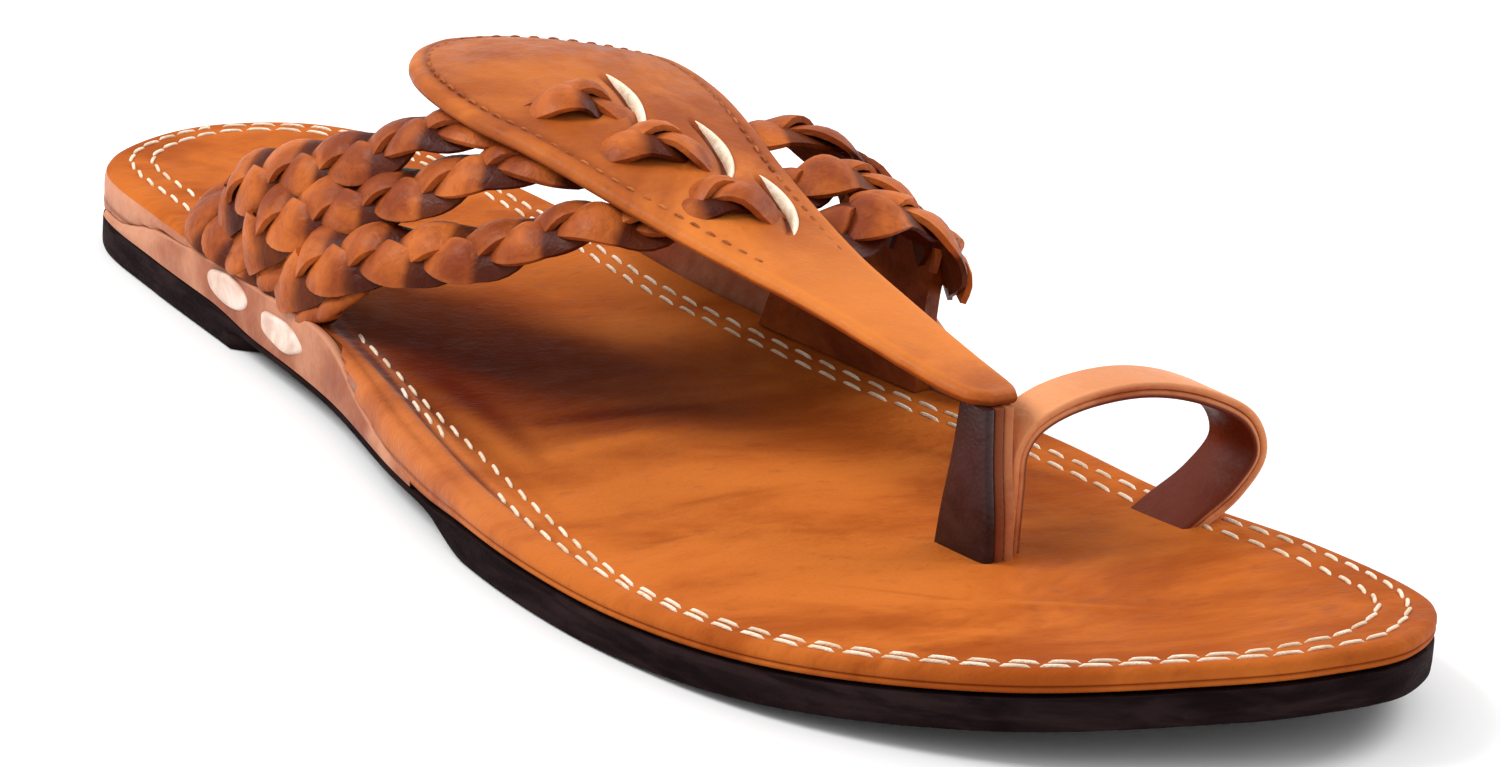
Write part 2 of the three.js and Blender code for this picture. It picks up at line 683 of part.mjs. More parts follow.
// Materials
const finish = (colour, roughness, metalness = 0) => (
  new THREE.MeshStandardMaterial({ color: colour, roughness, metalness }));
const leather = { colour: '#b8652a', roughness: 0.5 };
const sideLeather = { colour: '#b9785a', roughness: 0.6 };
const blackRubber = { colour: '#241a1a', roughness: 0.75 };
const rawhide = { colour: '#ddc6ba', roughness: 0.6 };
const darkLeather = { colour: '#3a1a14', roughness: 0.3 };

const group = new THREE.Group();
function piece(name, geometry, { colour, roughness }) {
  const mesh = new THREE.Mesh(geometry, finish(colour, roughness));
  mesh.name = name;
  group.add(mesh);
}

// The sole
piece('outsole', outsoleGeometry(), blackRubber);
piece('heel_lift', heelLiftGeometry(), blackRubber);
const panelRoom = solid(panelGeometry('little', fit)).add(solid(panelGeometry('big', fit)));
const midsole = solid(layer([
  { inset: edgeBevel, height: midsoleBottom },
  { inset: edgeBevel, height: midsoleTop },
]));
piece('midsole', geometryOf(midsole.subtract(panelRoom)), leather);
const insole = solid(layer([
  { inset: edgeBevel, height: insoleBottom },
  ...RIM.map(({ inset, share }) => ({
    inset: inset * rimRound,
    height: (x) => insoleBottom(x) + share * insoleThickness,
  })),
]));
const slots = solid(postGeometry(fit)).add(solid(ringGeometry(fit)));
piece('insole', geometryOf(insole.subtract(panelRoom).subtract(slots)), leather);

// The side panels and their plugs
for (const { side, along } of DISC_PLACES) {
  const windows = along.map((share) => solid(discGeometry(side, share, fit)));
  const panel = windows.reduce((body, window) => body.subtract(window), solid(panelGeometry(side, 0)));
  piece(`side_panel_${side}_toe_side`, geometryOf(panel), sideLeather);
  along.forEach((share, i) => {
    piece(`rawhide_disc_${side}_${i + 1}`, geometryOf(solid(discGeometry(side, share, 0))), rawhide);
  });
}

// The upper
const lines = PLAITS.map(plaitLine);
const plaits = lines.map((line) => plait(line, plaitWidth, plaitThickness, plaitPitch));
const edgePlait = plait(edgePlaitLine(), edgePlaitWidth, edgePlaitThickness, plaitPitch);
const straps = [...plaits, edgePlait, solid(wallGeometry())].reduce((all, body) => all.add(body));
piece('braided_straps', outerSkin(straps), leather);
const rooms = lines.map(plaitRoom);
const vamp = rooms.reduce((body, room) => body.subtract(room), solid(vampSheet()));
piece('vamp', geometryOf(vamp), leather);
piece('toe_post', postGeometry(0), darkLeather);
piece('toe_ring', ringGeometry(0), leather);

// The origin is under the middle of the sandal, on the ground
const box = new THREE.Box3().setFromObject(group);
const middle = box.getCenter(new THREE.Vector3());
group.position.set(-middle.x, -middle.y, -box.min.z);

export default group;
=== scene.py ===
# %% [markdown]
# A kolhapuri sandal for the right foot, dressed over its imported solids.
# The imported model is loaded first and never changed. Every piece made below stands for one or
# more of its nodes, in the same place and at the same size, or is thread or a cut edge on one.
# All lengths in this lesson are millimetres, measured from the back of the heel, and one helper
# turns them into the frame's metres.

# %% The frame
import math
import random

import bmesh
import bpy
import numpy as np
from mathutils import Matrix, Vector


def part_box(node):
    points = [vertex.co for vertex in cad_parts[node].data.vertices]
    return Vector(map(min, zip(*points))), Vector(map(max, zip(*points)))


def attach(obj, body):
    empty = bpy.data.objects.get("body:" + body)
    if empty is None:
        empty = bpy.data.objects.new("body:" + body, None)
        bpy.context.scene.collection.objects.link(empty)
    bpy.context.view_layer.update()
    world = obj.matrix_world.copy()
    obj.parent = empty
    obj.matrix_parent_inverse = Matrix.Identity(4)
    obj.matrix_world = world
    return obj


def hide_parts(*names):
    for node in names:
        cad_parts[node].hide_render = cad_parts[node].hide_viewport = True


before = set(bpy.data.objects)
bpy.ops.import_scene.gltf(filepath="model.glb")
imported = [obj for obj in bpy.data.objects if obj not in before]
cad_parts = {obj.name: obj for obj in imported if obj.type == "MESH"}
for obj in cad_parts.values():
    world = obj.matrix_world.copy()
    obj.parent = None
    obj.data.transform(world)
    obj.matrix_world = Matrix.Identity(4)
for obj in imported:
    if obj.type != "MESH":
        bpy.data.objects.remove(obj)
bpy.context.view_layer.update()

# %% [markdown]
# The sandal's sizes come first, under the same names as in the solids' source.
# A maker would write them on the pattern: the length of the sole, the width at the ball, how
# thick each layer is and where the sole starts to rise.

# %% The sizes
SOLE_LENGTH = 280.0
BALL_WIDTH = 100.0
FIT = 0.3
HEEL_LIFT_HEIGHT = 2.8
HEEL_LIFT_LENGTH = 80.0
HEEL_BREAST_CURVE = 4.0
OUTSOLE_HEEL = 2.1
OUTSOLE_WAIST = 1.0
OUTSOLE_THICK = 4.8
MIDSOLE_THICK = 5.8
MIDSOLE_THIN = 0.9
INSOLE_THICKNESS = 2.0
TOE_SPRING = 6.8
INSTEP_HEIGHT = 39.0
VAMP_WIDTH = 46.0
VAMP_THICKNESS = 2.2
VAMP_CROWN = 3.1
PANEL_THICKNESS = 1.8
PLAIT_WIDTH = 10.4
PLAIT_THICKNESS = 3.2
PLAIT_PITCH = 35.0
EDGE_PLAIT_WIDTH = 13.0
EDGE_PLAIT_THICKNESS = 4.4
EDGE_PLAIT_TILT = 35.0
DISC_LENGTH = 16.0
DISC_HEIGHT = 4.9
DISC_RISE = 4.2
POST_THICKNESS = 5.0
RING_THICKNESS = 2.4
RING_WIDTH = 11.6
ARCH = (0.250, 0.643)
WAIST = (0.240, 0.310)
RAMP = (0.560, 0.620)
SPRING_START = 0.715


def ease(value, start, end):
    t = np.clip((np.asarray(value, float) - start) / (end - start), 0, 1)
    return t * t * (3 - 2 * t)


def mix(a, b, t):
    return a + (b - a) * t


def unit(v):
    return v / np.maximum(np.linalg.norm(v, axis=-1, keepdims=True), 1e-9)


def bell(value, width):
    return np.exp(-(value / width) ** 2)


LIFT_TOP = HEEL_LIFT_HEIGHT + FIT
HEEL_TOP = LIFT_TOP + OUTSOLE_HEEL + FIT + MIDSOLE_THICK
TOE_TOP = OUTSOLE_THICK + FIT + MIDSOLE_THIN


def spring(x):
    share = np.asarray(x, float) / SOLE_LENGTH
    return TOE_SPRING * np.maximum(0, (share - SPRING_START) / (1 - SPRING_START)) ** 2


def outsole_bottom(x):
    return LIFT_TOP * (1 - ease(np.asarray(x) / SOLE_LENGTH, *RAMP)) + spring(x)


def outsole_top(x):
    share = np.asarray(x) / SOLE_LENGTH
    rear = LIFT_TOP + mix(OUTSOLE_HEEL, OUTSOLE_WAIST, ease(share, *WAIST))
    return mix(rear, OUTSOLE_THICK, ease(share, *RAMP)) + spring(x)


def midsole_bottom(x):
    return outsole_top(x) + FIT


def insole_top(x):
    arch = ease(np.asarray(x) / SOLE_LENGTH, *ARCH)
    return mix(HEEL_TOP, TOE_TOP, arch) + spring(x) + FIT + INSOLE_THICKNESS


HEEL_SEAT = float(insole_top(0))
print("heel seat", round(HEEL_SEAT, 2), "forefoot", round(float(insole_top(190)), 2))

# %% [markdown]
# The outline of the sole is one smooth closed curve through 24 places.
# It could be a Bezier curve object. A small function is used instead, because the same curve is
# needed many times: for each layer's edge, for the rim, and for the rows of stitches.
# Place 0 is the back of the heel, 0.5 is near the tip of the toe, and the little-toe side comes first.

# %% The outline
OUTLINE = np.array([
    (0.000, 0.000), (0.027, -0.176), (0.073, -0.278), (0.161, -0.319), (0.286, -0.356),
    (0.410, -0.402), (0.534, -0.485), (0.660, -0.538), (0.768, -0.528), (0.860, -0.452),
    (0.939, -0.280), (0.983, -0.058), (0.998, 0.084), (0.994, 0.242), (0.941, 0.402),
    (0.839, 0.468), (0.732, 0.443), (0.627, 0.440), (0.501, 0.375), (0.375, 0.317),
    (0.250, 0.322), (0.143, 0.316), (0.063, 0.279), (0.013, 0.177),
]) * (SOLE_LENGTH, BALL_WIDTH)
EDGE_COUNT = 600


def outline_at(place):
    """Points of the outline at places from 0 to 1, and the directions straight out from them."""
    count = len(OUTLINE)
    u = (np.asarray(place, float) % 1.0) * count
    i = np.floor(u).astype(int)
    t = (u - i)[..., None]
    p0, p1, p2, p3 = (OUTLINE[(i + k) % count] for k in (-1, 0, 1, 2))
    a = 2 * p1
    b = p2 - p0
    c = 2 * p0 - 5 * p1 + 4 * p2 - p3
    d = 3 * p1 - p0 - 3 * p2 + p3
    point = 0.5 * (a + b * t + c * t * t + d * t ** 3)
    slope = b + 2 * c * t + 3 * d * t * t
    out = np.stack([slope[..., 1], -slope[..., 0]], -1)
    return point, unit(out)


def inside_edge(place, inset):
    """Points of the outline moved in from the edge."""
    point, out = outline_at(place)
    return point - out * np.reshape(inset, (-1, 1) if np.ndim(place) else -1)


PLACES = np.arange(EDGE_COUNT) / EDGE_COUNT
EDGE, OUT = outline_at(PLACES)
TOE = EDGE_COUNT // 2


def edge_place(side, along):
    """The outline's place at a share of the length, on one side."""
    x = np.asarray(along) * SOLE_LENGTH
    if side == "little":
        return np.interp(x, EDGE[:TOE, 0], PLACES[:TOE])
    return np.interp(x, EDGE[TOE:][::-1][:, 0], PLACES[TOE:][::-1])


SHIFT = np.array(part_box("outsole")[0]) * 1000 - (EDGE[:, 0].min(), EDGE[:, 1].min(), 0)
print("outline", EDGE.min(0).round(1), EDGE.max(0).round(1), "shift", SHIFT.round(2))

# %% [markdown]
# A few small helpers make every mesh here.
# Two of them join points to faces: round a tube, and across the sole from side to side. The next
# makes the object and adds a number at each point, called tone, that the leathers read as how fair
# or dark the place is. The footbed also has one called polish, for how much a place shines.
# Nearly every piece is a loft: closed tubes made of rings of points, one or many in a piece.
# Writing meshes from arrays is quick, and it keeps each piece's shape in a few named numbers.

# %% Mesh helpers
def ring_faces(rows, cols):
    """Quads between rows of as many points, each row closed to a ring."""
    return [(r * cols + c, r * cols + (c + 1) % cols, (r + 1) * cols + (c + 1) % cols, (r + 1) * cols + c)
            for r in range(rows - 1) for c in range(cols)]


def rung_faces(start):
    """Quads across a ring that follows the outline, from one side to the other."""
    quads = [(i, i + 1, EDGE_COUNT - i - 1, (EDGE_COUNT - i) % EDGE_COUNT) for i in range(TOE)]
    return [tuple(dict.fromkeys(start + i for i in quad)) for quad in quads]


def put(name, data):
    """Puts a mesh, a lamp or a camera in the scene."""
    thing = bpy.data.objects.new(name, data)
    bpy.context.scene.collection.objects.link(thing)
    return thing


def make(name, points, faces, material, slot, *nodes, sharp=60.0, **layers):
    """A piece of the sandal from points in millimetres, with a number at each point in each layer."""
    mesh = bpy.data.meshes.new(name)
    mesh.from_pydata(((np.asarray(points, float) + SHIFT) / 1000).tolist(), [], faces)
    mesh.validate()
    for label, values in layers.items():
        layer = mesh.attributes.new(label, "FLOAT", "POINT")
        layer.data.foreach_set("value", np.asarray(values, np.float32).ravel())
    mesh.shade_smooth()
    mesh.set_sharp_from_angle(angle=math.radians(sharp))
    mesh.materials.append(material)
    piece = put(name, mesh)
    work = bmesh.new()
    work.from_mesh(mesh)
    bmesh.ops.recalc_face_normals(work, faces=work.faces)
    work.to_mesh(mesh)
    work.free()
    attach(piece, "root")
    if nodes:
        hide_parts(*nodes)
    return piece


def loft(name, parts, material, slot, *nodes, sharp=60.0):
    """A piece of closed tubes. Each part is its rings of points and the tone of each point."""
    points, faces, tones = [], [], []
    start = 0
    for rings, tone in parts:
        rings = np.asarray(rings, float)
        rows, cols = rings.shape[:2]
        tube = ring_faces(rows, cols) + [range(cols), range((rows - 1) * cols, rows * cols)]
        faces += [tuple(start + i for i in face) for face in tube]
        points.append(rings.reshape(-1, 3))
        tones.append(np.broadcast_to(tone, (rows, cols)).ravel())
        start += rows * cols
    return make(name, np.concatenate(points), faces, material, slot, *nodes,
                tone=np.concatenate(tones), sharp=sharp)


def threads(name, paths, radius, sides, material, tones):
    """Short round threads with tapered ends, all in one piece."""
    angle = np.arange(sides) * 2 * math.pi / sides
    parts = []
    for path, tone in zip(paths, tones):
        heading = unit(np.gradient(path, axis=0))
        side = unit(np.cross(heading, (0, 0, 1.0)))
        up = np.cross(side, heading)
        size = np.full(len(path), radius)
        size[[0, -1]] *= 0.35
        circle = side[:, None] * np.cos(angle)[:, None] + up[:, None] * np.sin(angle)[:, None]
        parts.append((path[:, None] + circle * size[:, None, None], tone))
    loft(name, parts, material, "thread", sharp=80)


# %% [markdown]
# Leather is the finish of nearly every piece, so one helper builds it and each piece only says how.
# Real vegetable-tanned leather has broad clouds of colour, fine pores, a few pulled fibres and a
# soft shine that breaks up where it is scuffed. Clouds and fibres are noise at two scales, and the
# fibres vary the roughness too. The pores are a cell pattern in the bump. Tone fades a piece to its
# dark colour in seams and worn places and where shade is painted in folds, gaps, hollows and under
# other pieces, and to its pale one where it is rubbed and where highlights are painted on edges and ridges.
# An image would be quicker, but a pattern made from the piece's own coordinates has no seams.

# %% Leather
PORE_HEIGHT = 0.0004
WRINKLE_HEIGHT = 0.0012
POLISH_GAIN = 0.16


def feed(tree, node, inputs):
    """Sets a node's inputs, each to a plain value or to another node's output."""
    for key, value in inputs.items():
        if isinstance(value, bpy.types.NodeSocket):
            tree.links.new(value, node.inputs[key])
        else:
            node.inputs[key].default_value = value


def add(tree, kind, inputs, output=0, **settings):
    """Adds a node and gives one of its outputs."""
    node = tree.nodes.new(kind)
    for key, value in settings.items():
        setattr(node, key, value)
    feed(tree, node, inputs)
    return node.outputs[output]


def blend(tree, factor, first, second):
    return add(tree, "ShaderNodeMix", {0: factor, 6: first, 7: second}, 2, data_type="RGBA")


def noise(tree, coords, scale, detail, roughness, stretch, distortion=0.0):
    place = add(tree, "ShaderNodeMapping", {"Scale": stretch, "Vector": coords})
    return add(tree, "ShaderNodeTexNoise", {"Scale": scale, "Detail": detail, "Roughness": roughness,
                                            "Distortion": distortion, "Vector": place})


def fit_range(tree, source, low, high, to_low=0.0, to_high=1.0):
    """Stretches a 0 to 1 pattern between two values."""
    limits = {"From Min": low, "From Max": high, "To Min": to_low, "To Max": to_high}
    return add(tree, "ShaderNodeMapRange", {**limits, "Value": source}, interpolation_type="SMOOTHSTEP")


def colour(red, green, blue):
    """A colour as seen on a screen, 0 to 255, turned into light."""
    part = [v / 255 for v in (red, green, blue)]
    return tuple(v / 12.92 if v <= 0.04045 else ((v + 0.055) / 1.055) ** 2.4 for v in part) + (1.0,)


def leather(name, fair, dark, pale, clouds=55.0, cloud_depth=0.5, fibres=(1, 1, 1), pores=1500.0,
            pore_depth=0.12, wrinkles=260.0, wrinkle_depth=0.12, roughness=0.42, coat=0.15, shine=0.12):
    """A leather from three colours; the other values say how its clouds, grain and shine differ."""
    fair, dark, pale = colour(*fair), colour(*dark), colour(*pale)
    material = bpy.data.materials.new(name)
    material.use_nodes = True
    tree = material.node_tree
    coords = add(tree, "ShaderNodeTexCoord", {}, "Object")
    tone = add(tree, "ShaderNodeAttribute", {}, "Fac", attribute_name="tone")
    polish = add(tree, "ShaderNodeAttribute", {}, "Fac", attribute_name="polish")
    cloud = noise(tree, coords, clouds, 5, 0.6, fibres, 0.4)
    fibre = noise(tree, coords, clouds * 9, 6, 0.65, fibres)
    wrinkle = noise(tree, coords, wrinkles, 3, 0.5, fibres, 0.8)
    pore = add(tree, "ShaderNodeTexVoronoi", {"Scale": pores, "Vector": coords}, "Distance", feature="F1")
    base = blend(tree, fit_range(tree, cloud, 0.3, 0.72), fair, pale)
    base = blend(tree, fit_range(tree, cloud, 0.36, 0.60, cloud_depth, 0.0), base, dark)
    base = blend(tree, fit_range(tree, fibre, 0.46, 0.30, 0.0, 0.2), base, dark)
    base = blend(tree, fit_range(tree, tone, 0.5, 0.0), base, dark)
    base = blend(tree, fit_range(tree, tone, 0.5, 1.0), base, pale)
    grain = add(tree, "ShaderNodeBump", {"Strength": pore_depth, "Distance": PORE_HEIGHT, "Height": pore})
    grain = add(tree, "ShaderNodeBump", {"Strength": wrinkle_depth, "Distance": WRINKLE_HEIGHT,
                                         "Height": wrinkle, "Normal": grain})
    feed(tree, tree.nodes["Principled BSDF"], {
        "Base Color": base, "Normal": grain, "Coat Weight": coat, "Coat Roughness": 0.3,
        "Roughness": fit_range(tree, fibre, 0.3, 0.7, roughness - 0.08, roughness + 0.14),
        "Specular IOR Level": fit_range(tree, polish, 0.0, 1.0, shine, shine + POLISH_GAIN)})
    return material


INSOLE_LEATHER = leather("insole_leather", (170, 83, 29), (92, 28, 7), (190, 104, 42),
                         clouds=26, cloud_depth=0.34, fibres=(1.6, 0.8, 1), wrinkles=520,
                         wrinkle_depth=0.22, roughness=0.48, coat=0.0, shine=0.01)
VAMP_LEATHER = leather("vamp_leather", (172, 86, 34), (112, 46, 16), (206, 118, 48),
                       clouds=34, cloud_depth=0.45, roughness=0.40, coat=0.02, shine=0.07)
PLAIT_LEATHER = leather("plait_leather", (141, 61, 25), (62, 18, 6), (190, 102, 43),
                        clouds=70, cloud_depth=0.3, wrinkles=420, wrinkle_depth=0.3,
                        coat=0.02, shine=0.10)
SIDE_LEATHER = leather("side_leather", (152, 82, 55), (108, 50, 28), (196, 136, 104),
                       clouds=40, cloud_depth=0.3, roughness=0.5, coat=0.0)
DARK_LEATHER = leather("dark_leather", (32, 12, 13), (16, 5, 5), (58, 32, 34),
                       clouds=60, cloud_depth=0.4, roughness=0.28, coat=0.25, shine=0.2)
RING_LEATHER = leather("ring_leather", (186, 102, 58), (96, 34, 14), (218, 146, 98),
                        clouds=60, cloud_depth=0.25, roughness=0.44, coat=0.03)
RAWHIDE = leather("rawhide", (212, 180, 162), (168, 120, 98), (232, 212, 198),
                  clouds=160, cloud_depth=0.3, roughness=0.45, coat=0.08)
SOLE_SHEET = leather("sole_sheet", (24, 15, 16), (16, 9, 10), (44, 31, 32),
                     clouds=120, cloud_depth=0.4, fibres=(0.6, 0.6, 3.0), roughness=0.62, coat=0.0,
                     pores=2200, pore_depth=0.2, shine=0.01)
THREAD = leather("thread", (228, 204, 172), (160, 114, 76), (246, 232, 210),
                 clouds=300, cloud_depth=0.2, wrinkles=2600, wrinkle_depth=0.4, roughness=0.6, coat=0.0)
VAMP_THREAD = leather("vamp_thread", (150, 78, 36), (96, 40, 18), (190, 112, 60),
                      clouds=300, cloud_depth=0.2, wrinkles=2600, wrinkle_depth=0.4, roughness=0.6, coat=0.0)
print("finishes:", len(bpy.data.materials))

# %% [markdown]
# Tables are read on smooth curves, so that a few rows give a long soft shape.
# This is the same cubic reading as the solids use.

# %% Reading tables
def read(rows, along):
    """Values from rows of (along, value...) on smooth curves, for each along asked for."""
    rows = np.asarray(rows, float)
    if rows[0, 0] > rows[-1, 0]:
        rows = rows[::-1]
    x, y = rows[:, 0], rows[:, 1:]
    slope = np.empty_like(y)
    slope[1:-1] = (y[2:] - y[:-2]) / (x[2:] - x[:-2])[:, None]
    slope[0] = (y[1] - y[0]) / (x[1] - x[0])
    slope[-1] = (y[-1] - y[-2]) / (x[-1] - x[-2])
    at = np.clip(np.asarray(along, float), x[0], x[-1])
    i = np.clip(np.searchsorted(x, at, side="right") - 1, 0, len(x) - 2)
    span = (x[i + 1] - x[i])[..., None]
    t = ((at - x[i]) / (x[i + 1] - x[i]))[..., None]
    return ((2 * t ** 3 - 3 * t ** 2 + 1) * y[i] + (t ** 3 - 2 * t ** 2 + t) * span * slope[i]
            + (3 * t ** 2 - 2 * t ** 3) * y[i + 1] + (t ** 3 - t ** 2) * span * slope[i + 1])


# %% [markdown]
# The two side panels are thin leather cheeks glued round the waist of the sole.
# On the little-toe side the panel rises behind the plaits and dies away before the forefoot. On
# the big-toe side it stands up as a wing that the plaits are laced into.
# Each is a strip lofted along the sole's edge: the points of a thin section, moved along the
# outline. A solidified plane would do, but the lofted section gives the pale cut edge on top.

# %% Side panels
LITTLE_PANEL = [(0.070, 0.48), (0.110, 0.55), (0.157, 0.74), (0.238, 0.86), (0.314, 0.92), (0.368, 0.97),
                (0.400, 0.95), (0.425, 0.82), (0.450, 0.64), (0.480, 0.54), (0.548, 0.39)]
BIG_PANEL = [(0.070, 0.48), (0.140, 0.68), (0.240, 0.90), (0.290, 1.04), (0.340, 1.36), (0.395, 1.62),
             (0.445, 1.76), (0.500, 1.80), (0.535, 1.56), (0.570, 1.10), (0.605, 0.74), (0.650, 0.44)]
PANEL_LEAN = 0.1
PANEL_FADE = 22.0
PANEL_EDGE = [
    # drop below the top, distance out, tone; the first two shrink where the panel thins
    (0.16, -0.16, 0.8), (0.0, -0.55, 0.9), (0.04, -1.0, 0.8), (0.3, 0.2 - PANEL_THICKNESS, 0.4),
]
PANELS = {"little": LITTLE_PANEL, "big": BIG_PANEL}


def panel_top(side, x):
    return read(PANELS[side], np.asarray(x) / SOLE_LENGTH)[..., 0] * HEEL_SEAT


def panel_fade(side, x):
    """0 where a panel is full, 1 at its thinned front end."""
    front = PANELS[side][-1][0] * SOLE_LENGTH
    return ease(x, front - PANEL_FADE, front)


def side_panel(side):
    along = np.linspace(PANELS[side][0][0], PANELS[side][-1][0], 150)
    point, out = outline_at(edge_place(side, along))
    x = point[:, 0]
    top, seat, low = panel_top(side, x), insole_top(x), midsole_bottom(x) + 0.05
    lean = PANEL_LEAN * np.maximum(0, top - seat)
    full = 0.12 + 0.88 * (1 - panel_fade(side, x))
    section = []
    for share in np.linspace(0, 1, 9):
        bulge = 0.25 * math.sin(math.pi * share) * full
        section.append((mix(low, top - 0.5 * full, share), bulge - 0.1 + share * lean, 0.42 + 0.1 * share))
    section += [(top - drop * full, lean + push * full, tone) for drop, push, tone in PANEL_EDGE]
    section.append((low, -PANEL_THICKNESS * full, 0.3))
    points = np.stack([np.column_stack([point + out * push[:, None], z]) for z, push, _ in section], 1)
    loft(f"{side}_toe_side_panel", [(points, [row[2] for row in section])], SIDE_LEATHER, "side_leather",
         f"side_panel_{side}_toe_side")


for side in PANELS:
    side_panel(side)
print("panels done")

# %% [markdown]
# Two pale ovals of rawhide show in each panel, where a lace of hide passes through it.
# A dome on an oval is the plain shape of it. Here the rim is wavy and the face slightly dished,
# because a hand-cut lace end is never quite round.

# %% Rawhide ovals
DISC_ALONG = (0.268, 0.343)
DISC_ROWS = [
    # size, distance out from the sole's edge, tone
    (0.9, -PANEL_THICKNESS, 0.3), (1.0, 0.05, 0.1), (0.97, 0.28, 0.35), (0.86, 0.48, 0.6), (0.6, 0.5, 0.55),
    (0.3, 0.42, 0.6), (0.06, 0.4, 0.5),
]


def rawhide_oval(side, number, along, seed):
    chance = random.Random(seed)
    point, out = outline_at(edge_place(side, along))
    forward = np.array([-out[1], out[0]]) * (1 if side == "little" else -1)
    middle = float(midsole_bottom(point[0])) + DISC_RISE
    waves = [(n, chance.uniform(-0.05, 0.05), chance.uniform(0, 6.28)) for n in (2, 3, 5)]
    angle = np.arange(48) * 2 * math.pi / 48
    wobble = 1 + sum(a * np.sin(n * angle + f) for n, a, f in waves)
    rings = []
    for share, depth, _ in DISC_ROWS:
        across = share * wobble * DISC_LENGTH / 2 * np.cos(angle)
        height = share * wobble * DISC_HEIGHT / 2 * np.sin(angle)
        rings.append(np.column_stack([point + across[:, None] * forward + out * depth, middle + height]))
    loft(f"rawhide_oval_{side}_{number}", [(rings, [[row[2]] for row in DISC_ROWS])], RAWHIDE, "rawhide",
         f"rawhide_disc_{side}_{number}", sharp=70)


for side in PANELS:
    for number, along in enumerate(DISC_ALONG, 1):
        rawhide_oval(side, number, along, seed=10 * number + len(side))
print("rawhide ovals done")

# %% [markdown]
# The top of the sole is one piece of tan leather that is pulled over the rim.
# On the real sandal the maker wets it, draws it over the layers below and stitches it down, so its
# edge is soft, and on the little-toe side of the waist it is rolled over a cord.
# The rim is a band of rings that follow the outline. Inside it, rungs join the two sides. This
# keeps the faces even where a plain flat fill would give long thin slivers.

# %% Stitch lines and creases
STITCH_LINES = [
    (0.000, 3.0, 5.8), (0.045, 3.4, 6.6), (0.090, 5.0, 8.8), (0.125, 5.6, 9.5), (0.170, 5.6, 8.0),
    (0.206, 5.0, 6.4), (0.225, 5.6, 7.6), (0.246, 6.6, 9.6), (0.267, 6.4, 10.0), (0.287, 5.4, 9.2),
    (0.309, 4.6, 6.9), (0.327, 3.8, 5.2), (0.350, 2.6, 4.6), (0.380, 2.3, 4.6), (0.430, 2.3, 4.8),
    (0.475, 2.5, 5.6), (0.510, 3.2, 7.6), (0.540, 3.9, 8.8), (0.575, 3.7, 7.6), (0.600, 3.0, 7.2),
    (0.640, 3.4, 8.0), (0.675, 4.4, 8.2), (0.727, 7.6, 10.8), (0.780, 8.0, 11.0), (0.830, 6.6, 9.6),
    (0.880, 4.8, 7.8), (0.940, 4.0, 7.0), (0.980, 3.2, 6.0), (1.000, 3.0, 5.8),
]
CREASES = [
    # start x, y, end x, y, half width, depth; a negative depth is a ridge
    (118, -38, 196, -46, 2.2, 0.12), (122, -30, 168, -34, 2.6, 0.10), (150, -46, 205, -51, 1.8, 0.12),
    (100, -12, 150, 2, 7.0, 0.10), (104, 6, 160, 14, 6.0, -0.10), (205, -48, 198, -30, 0.9, -0.30),
    (204, -34, 200, -19, 0.9, -0.28), (209, -24, 222, 2, 0.9, -0.28), (197, -42, 193, -26, 1.2, 0.2),
    (212, -30, 240, -6, 1.0, 0.18), (177, -38, 171, -14, 1.8, -0.22), (184, -30, 182, -4, 1.4, 0.18),
    (226, -24, 248, 8, 1.1, -0.18), (160, -30, 156, -4, 1.8, -0.2), (190, -20, 186, 4, 1.3, -0.16),
    (148, -24, 150, 2, 2.0, 0.14), (60, -14, 92, -16, 4.0, 0.14), (30, 2, 66, 8, 5.0, 0.12),
    (176, 22, 200, 34, 2.4, 0.16), (216, -38, 232, -22, 1.0, -0.16),
]
ROLL = [(0.0, 0.0), (0.185, 0.0), (0.215, 1.1), (0.250, 1.5), (0.275, 0.9), (0.300, 0.35), (0.340, 0.15),
        (0.500, 0.12), (0.640, 0.1), (0.700, 0.0), (1.0, 0.0)]
SHADE_AND_WEAR_PLACES = [
    # x, y, reach along, reach across, change of tone; below 0 is darker, which is painted shade under the
    # vamp, the plaits and the toe ring together with some wear
    (124, -27, 32, 20, -0.35), (148, -13, 38, 18, -0.16), (158, 16, 40, 12, -0.12), (92, 4, 26, 20, -0.14),
    (200, -18, 40, 24, 0.14), (30, 0, 24, 18, 0.04), (216, 16, 14, 16, -0.16),
]
CREASE_BOW = 2.5 / 60
RIDGE_APART = 3.4


def stitch_insets(place):
    return read(STITCH_LINES, place)


def crease_relief(x, y):
    """Height of the hand-placed creases."""
    height = np.zeros_like(x)
    for x0, y0, x1, y1, half, depth in CREASES:
        run = np.array([x1 - x0, y1 - y0])
        t = np.clip(((x - x0) * run[0] + (y - y0) * run[1]) / (run @ run), 0, 1)
        bow = CREASE_BOW * np.sin(math.pi * t)
        away = np.hypot(x - x0 - t * run[0] + bow * run[1], y - y0 - t * run[1] - bow * run[0])
        height -= depth * bell(away, half) * np.sin(math.pi * np.clip(t, 0.08, 0.92)) ** 0.5
    return height


def rim_roll(place, inset):
    """How high the rim is rolled at a place, and the distance from the roll's first ridge."""
    return read(ROLL, place)[..., 0], inset - np.minimum(stitch_insets(place)[..., 1] * 0.42, 3.6)


def bed_relief(x, y, place, inset):
    """Height of the top over its flat pattern: dish, rolled rim, stitch grooves and creases."""
    outer, inner = np.moveaxis(stitch_insets(place), -1, 0)
    roll, off = rim_roll(place, inset)
    hump = roll * (bell(off, 2.2) + 0.45 * bell(off - RIDGE_APART, 0.9))
    groove = -0.22 * bell(inset - inner, 0.7) - 0.16 * bell(inset - outer, 0.6)
    return hump + groove - 0.5 * ease(inset, 6, 26) + crease_relief(x, y) * ease(inset, 3, 9)


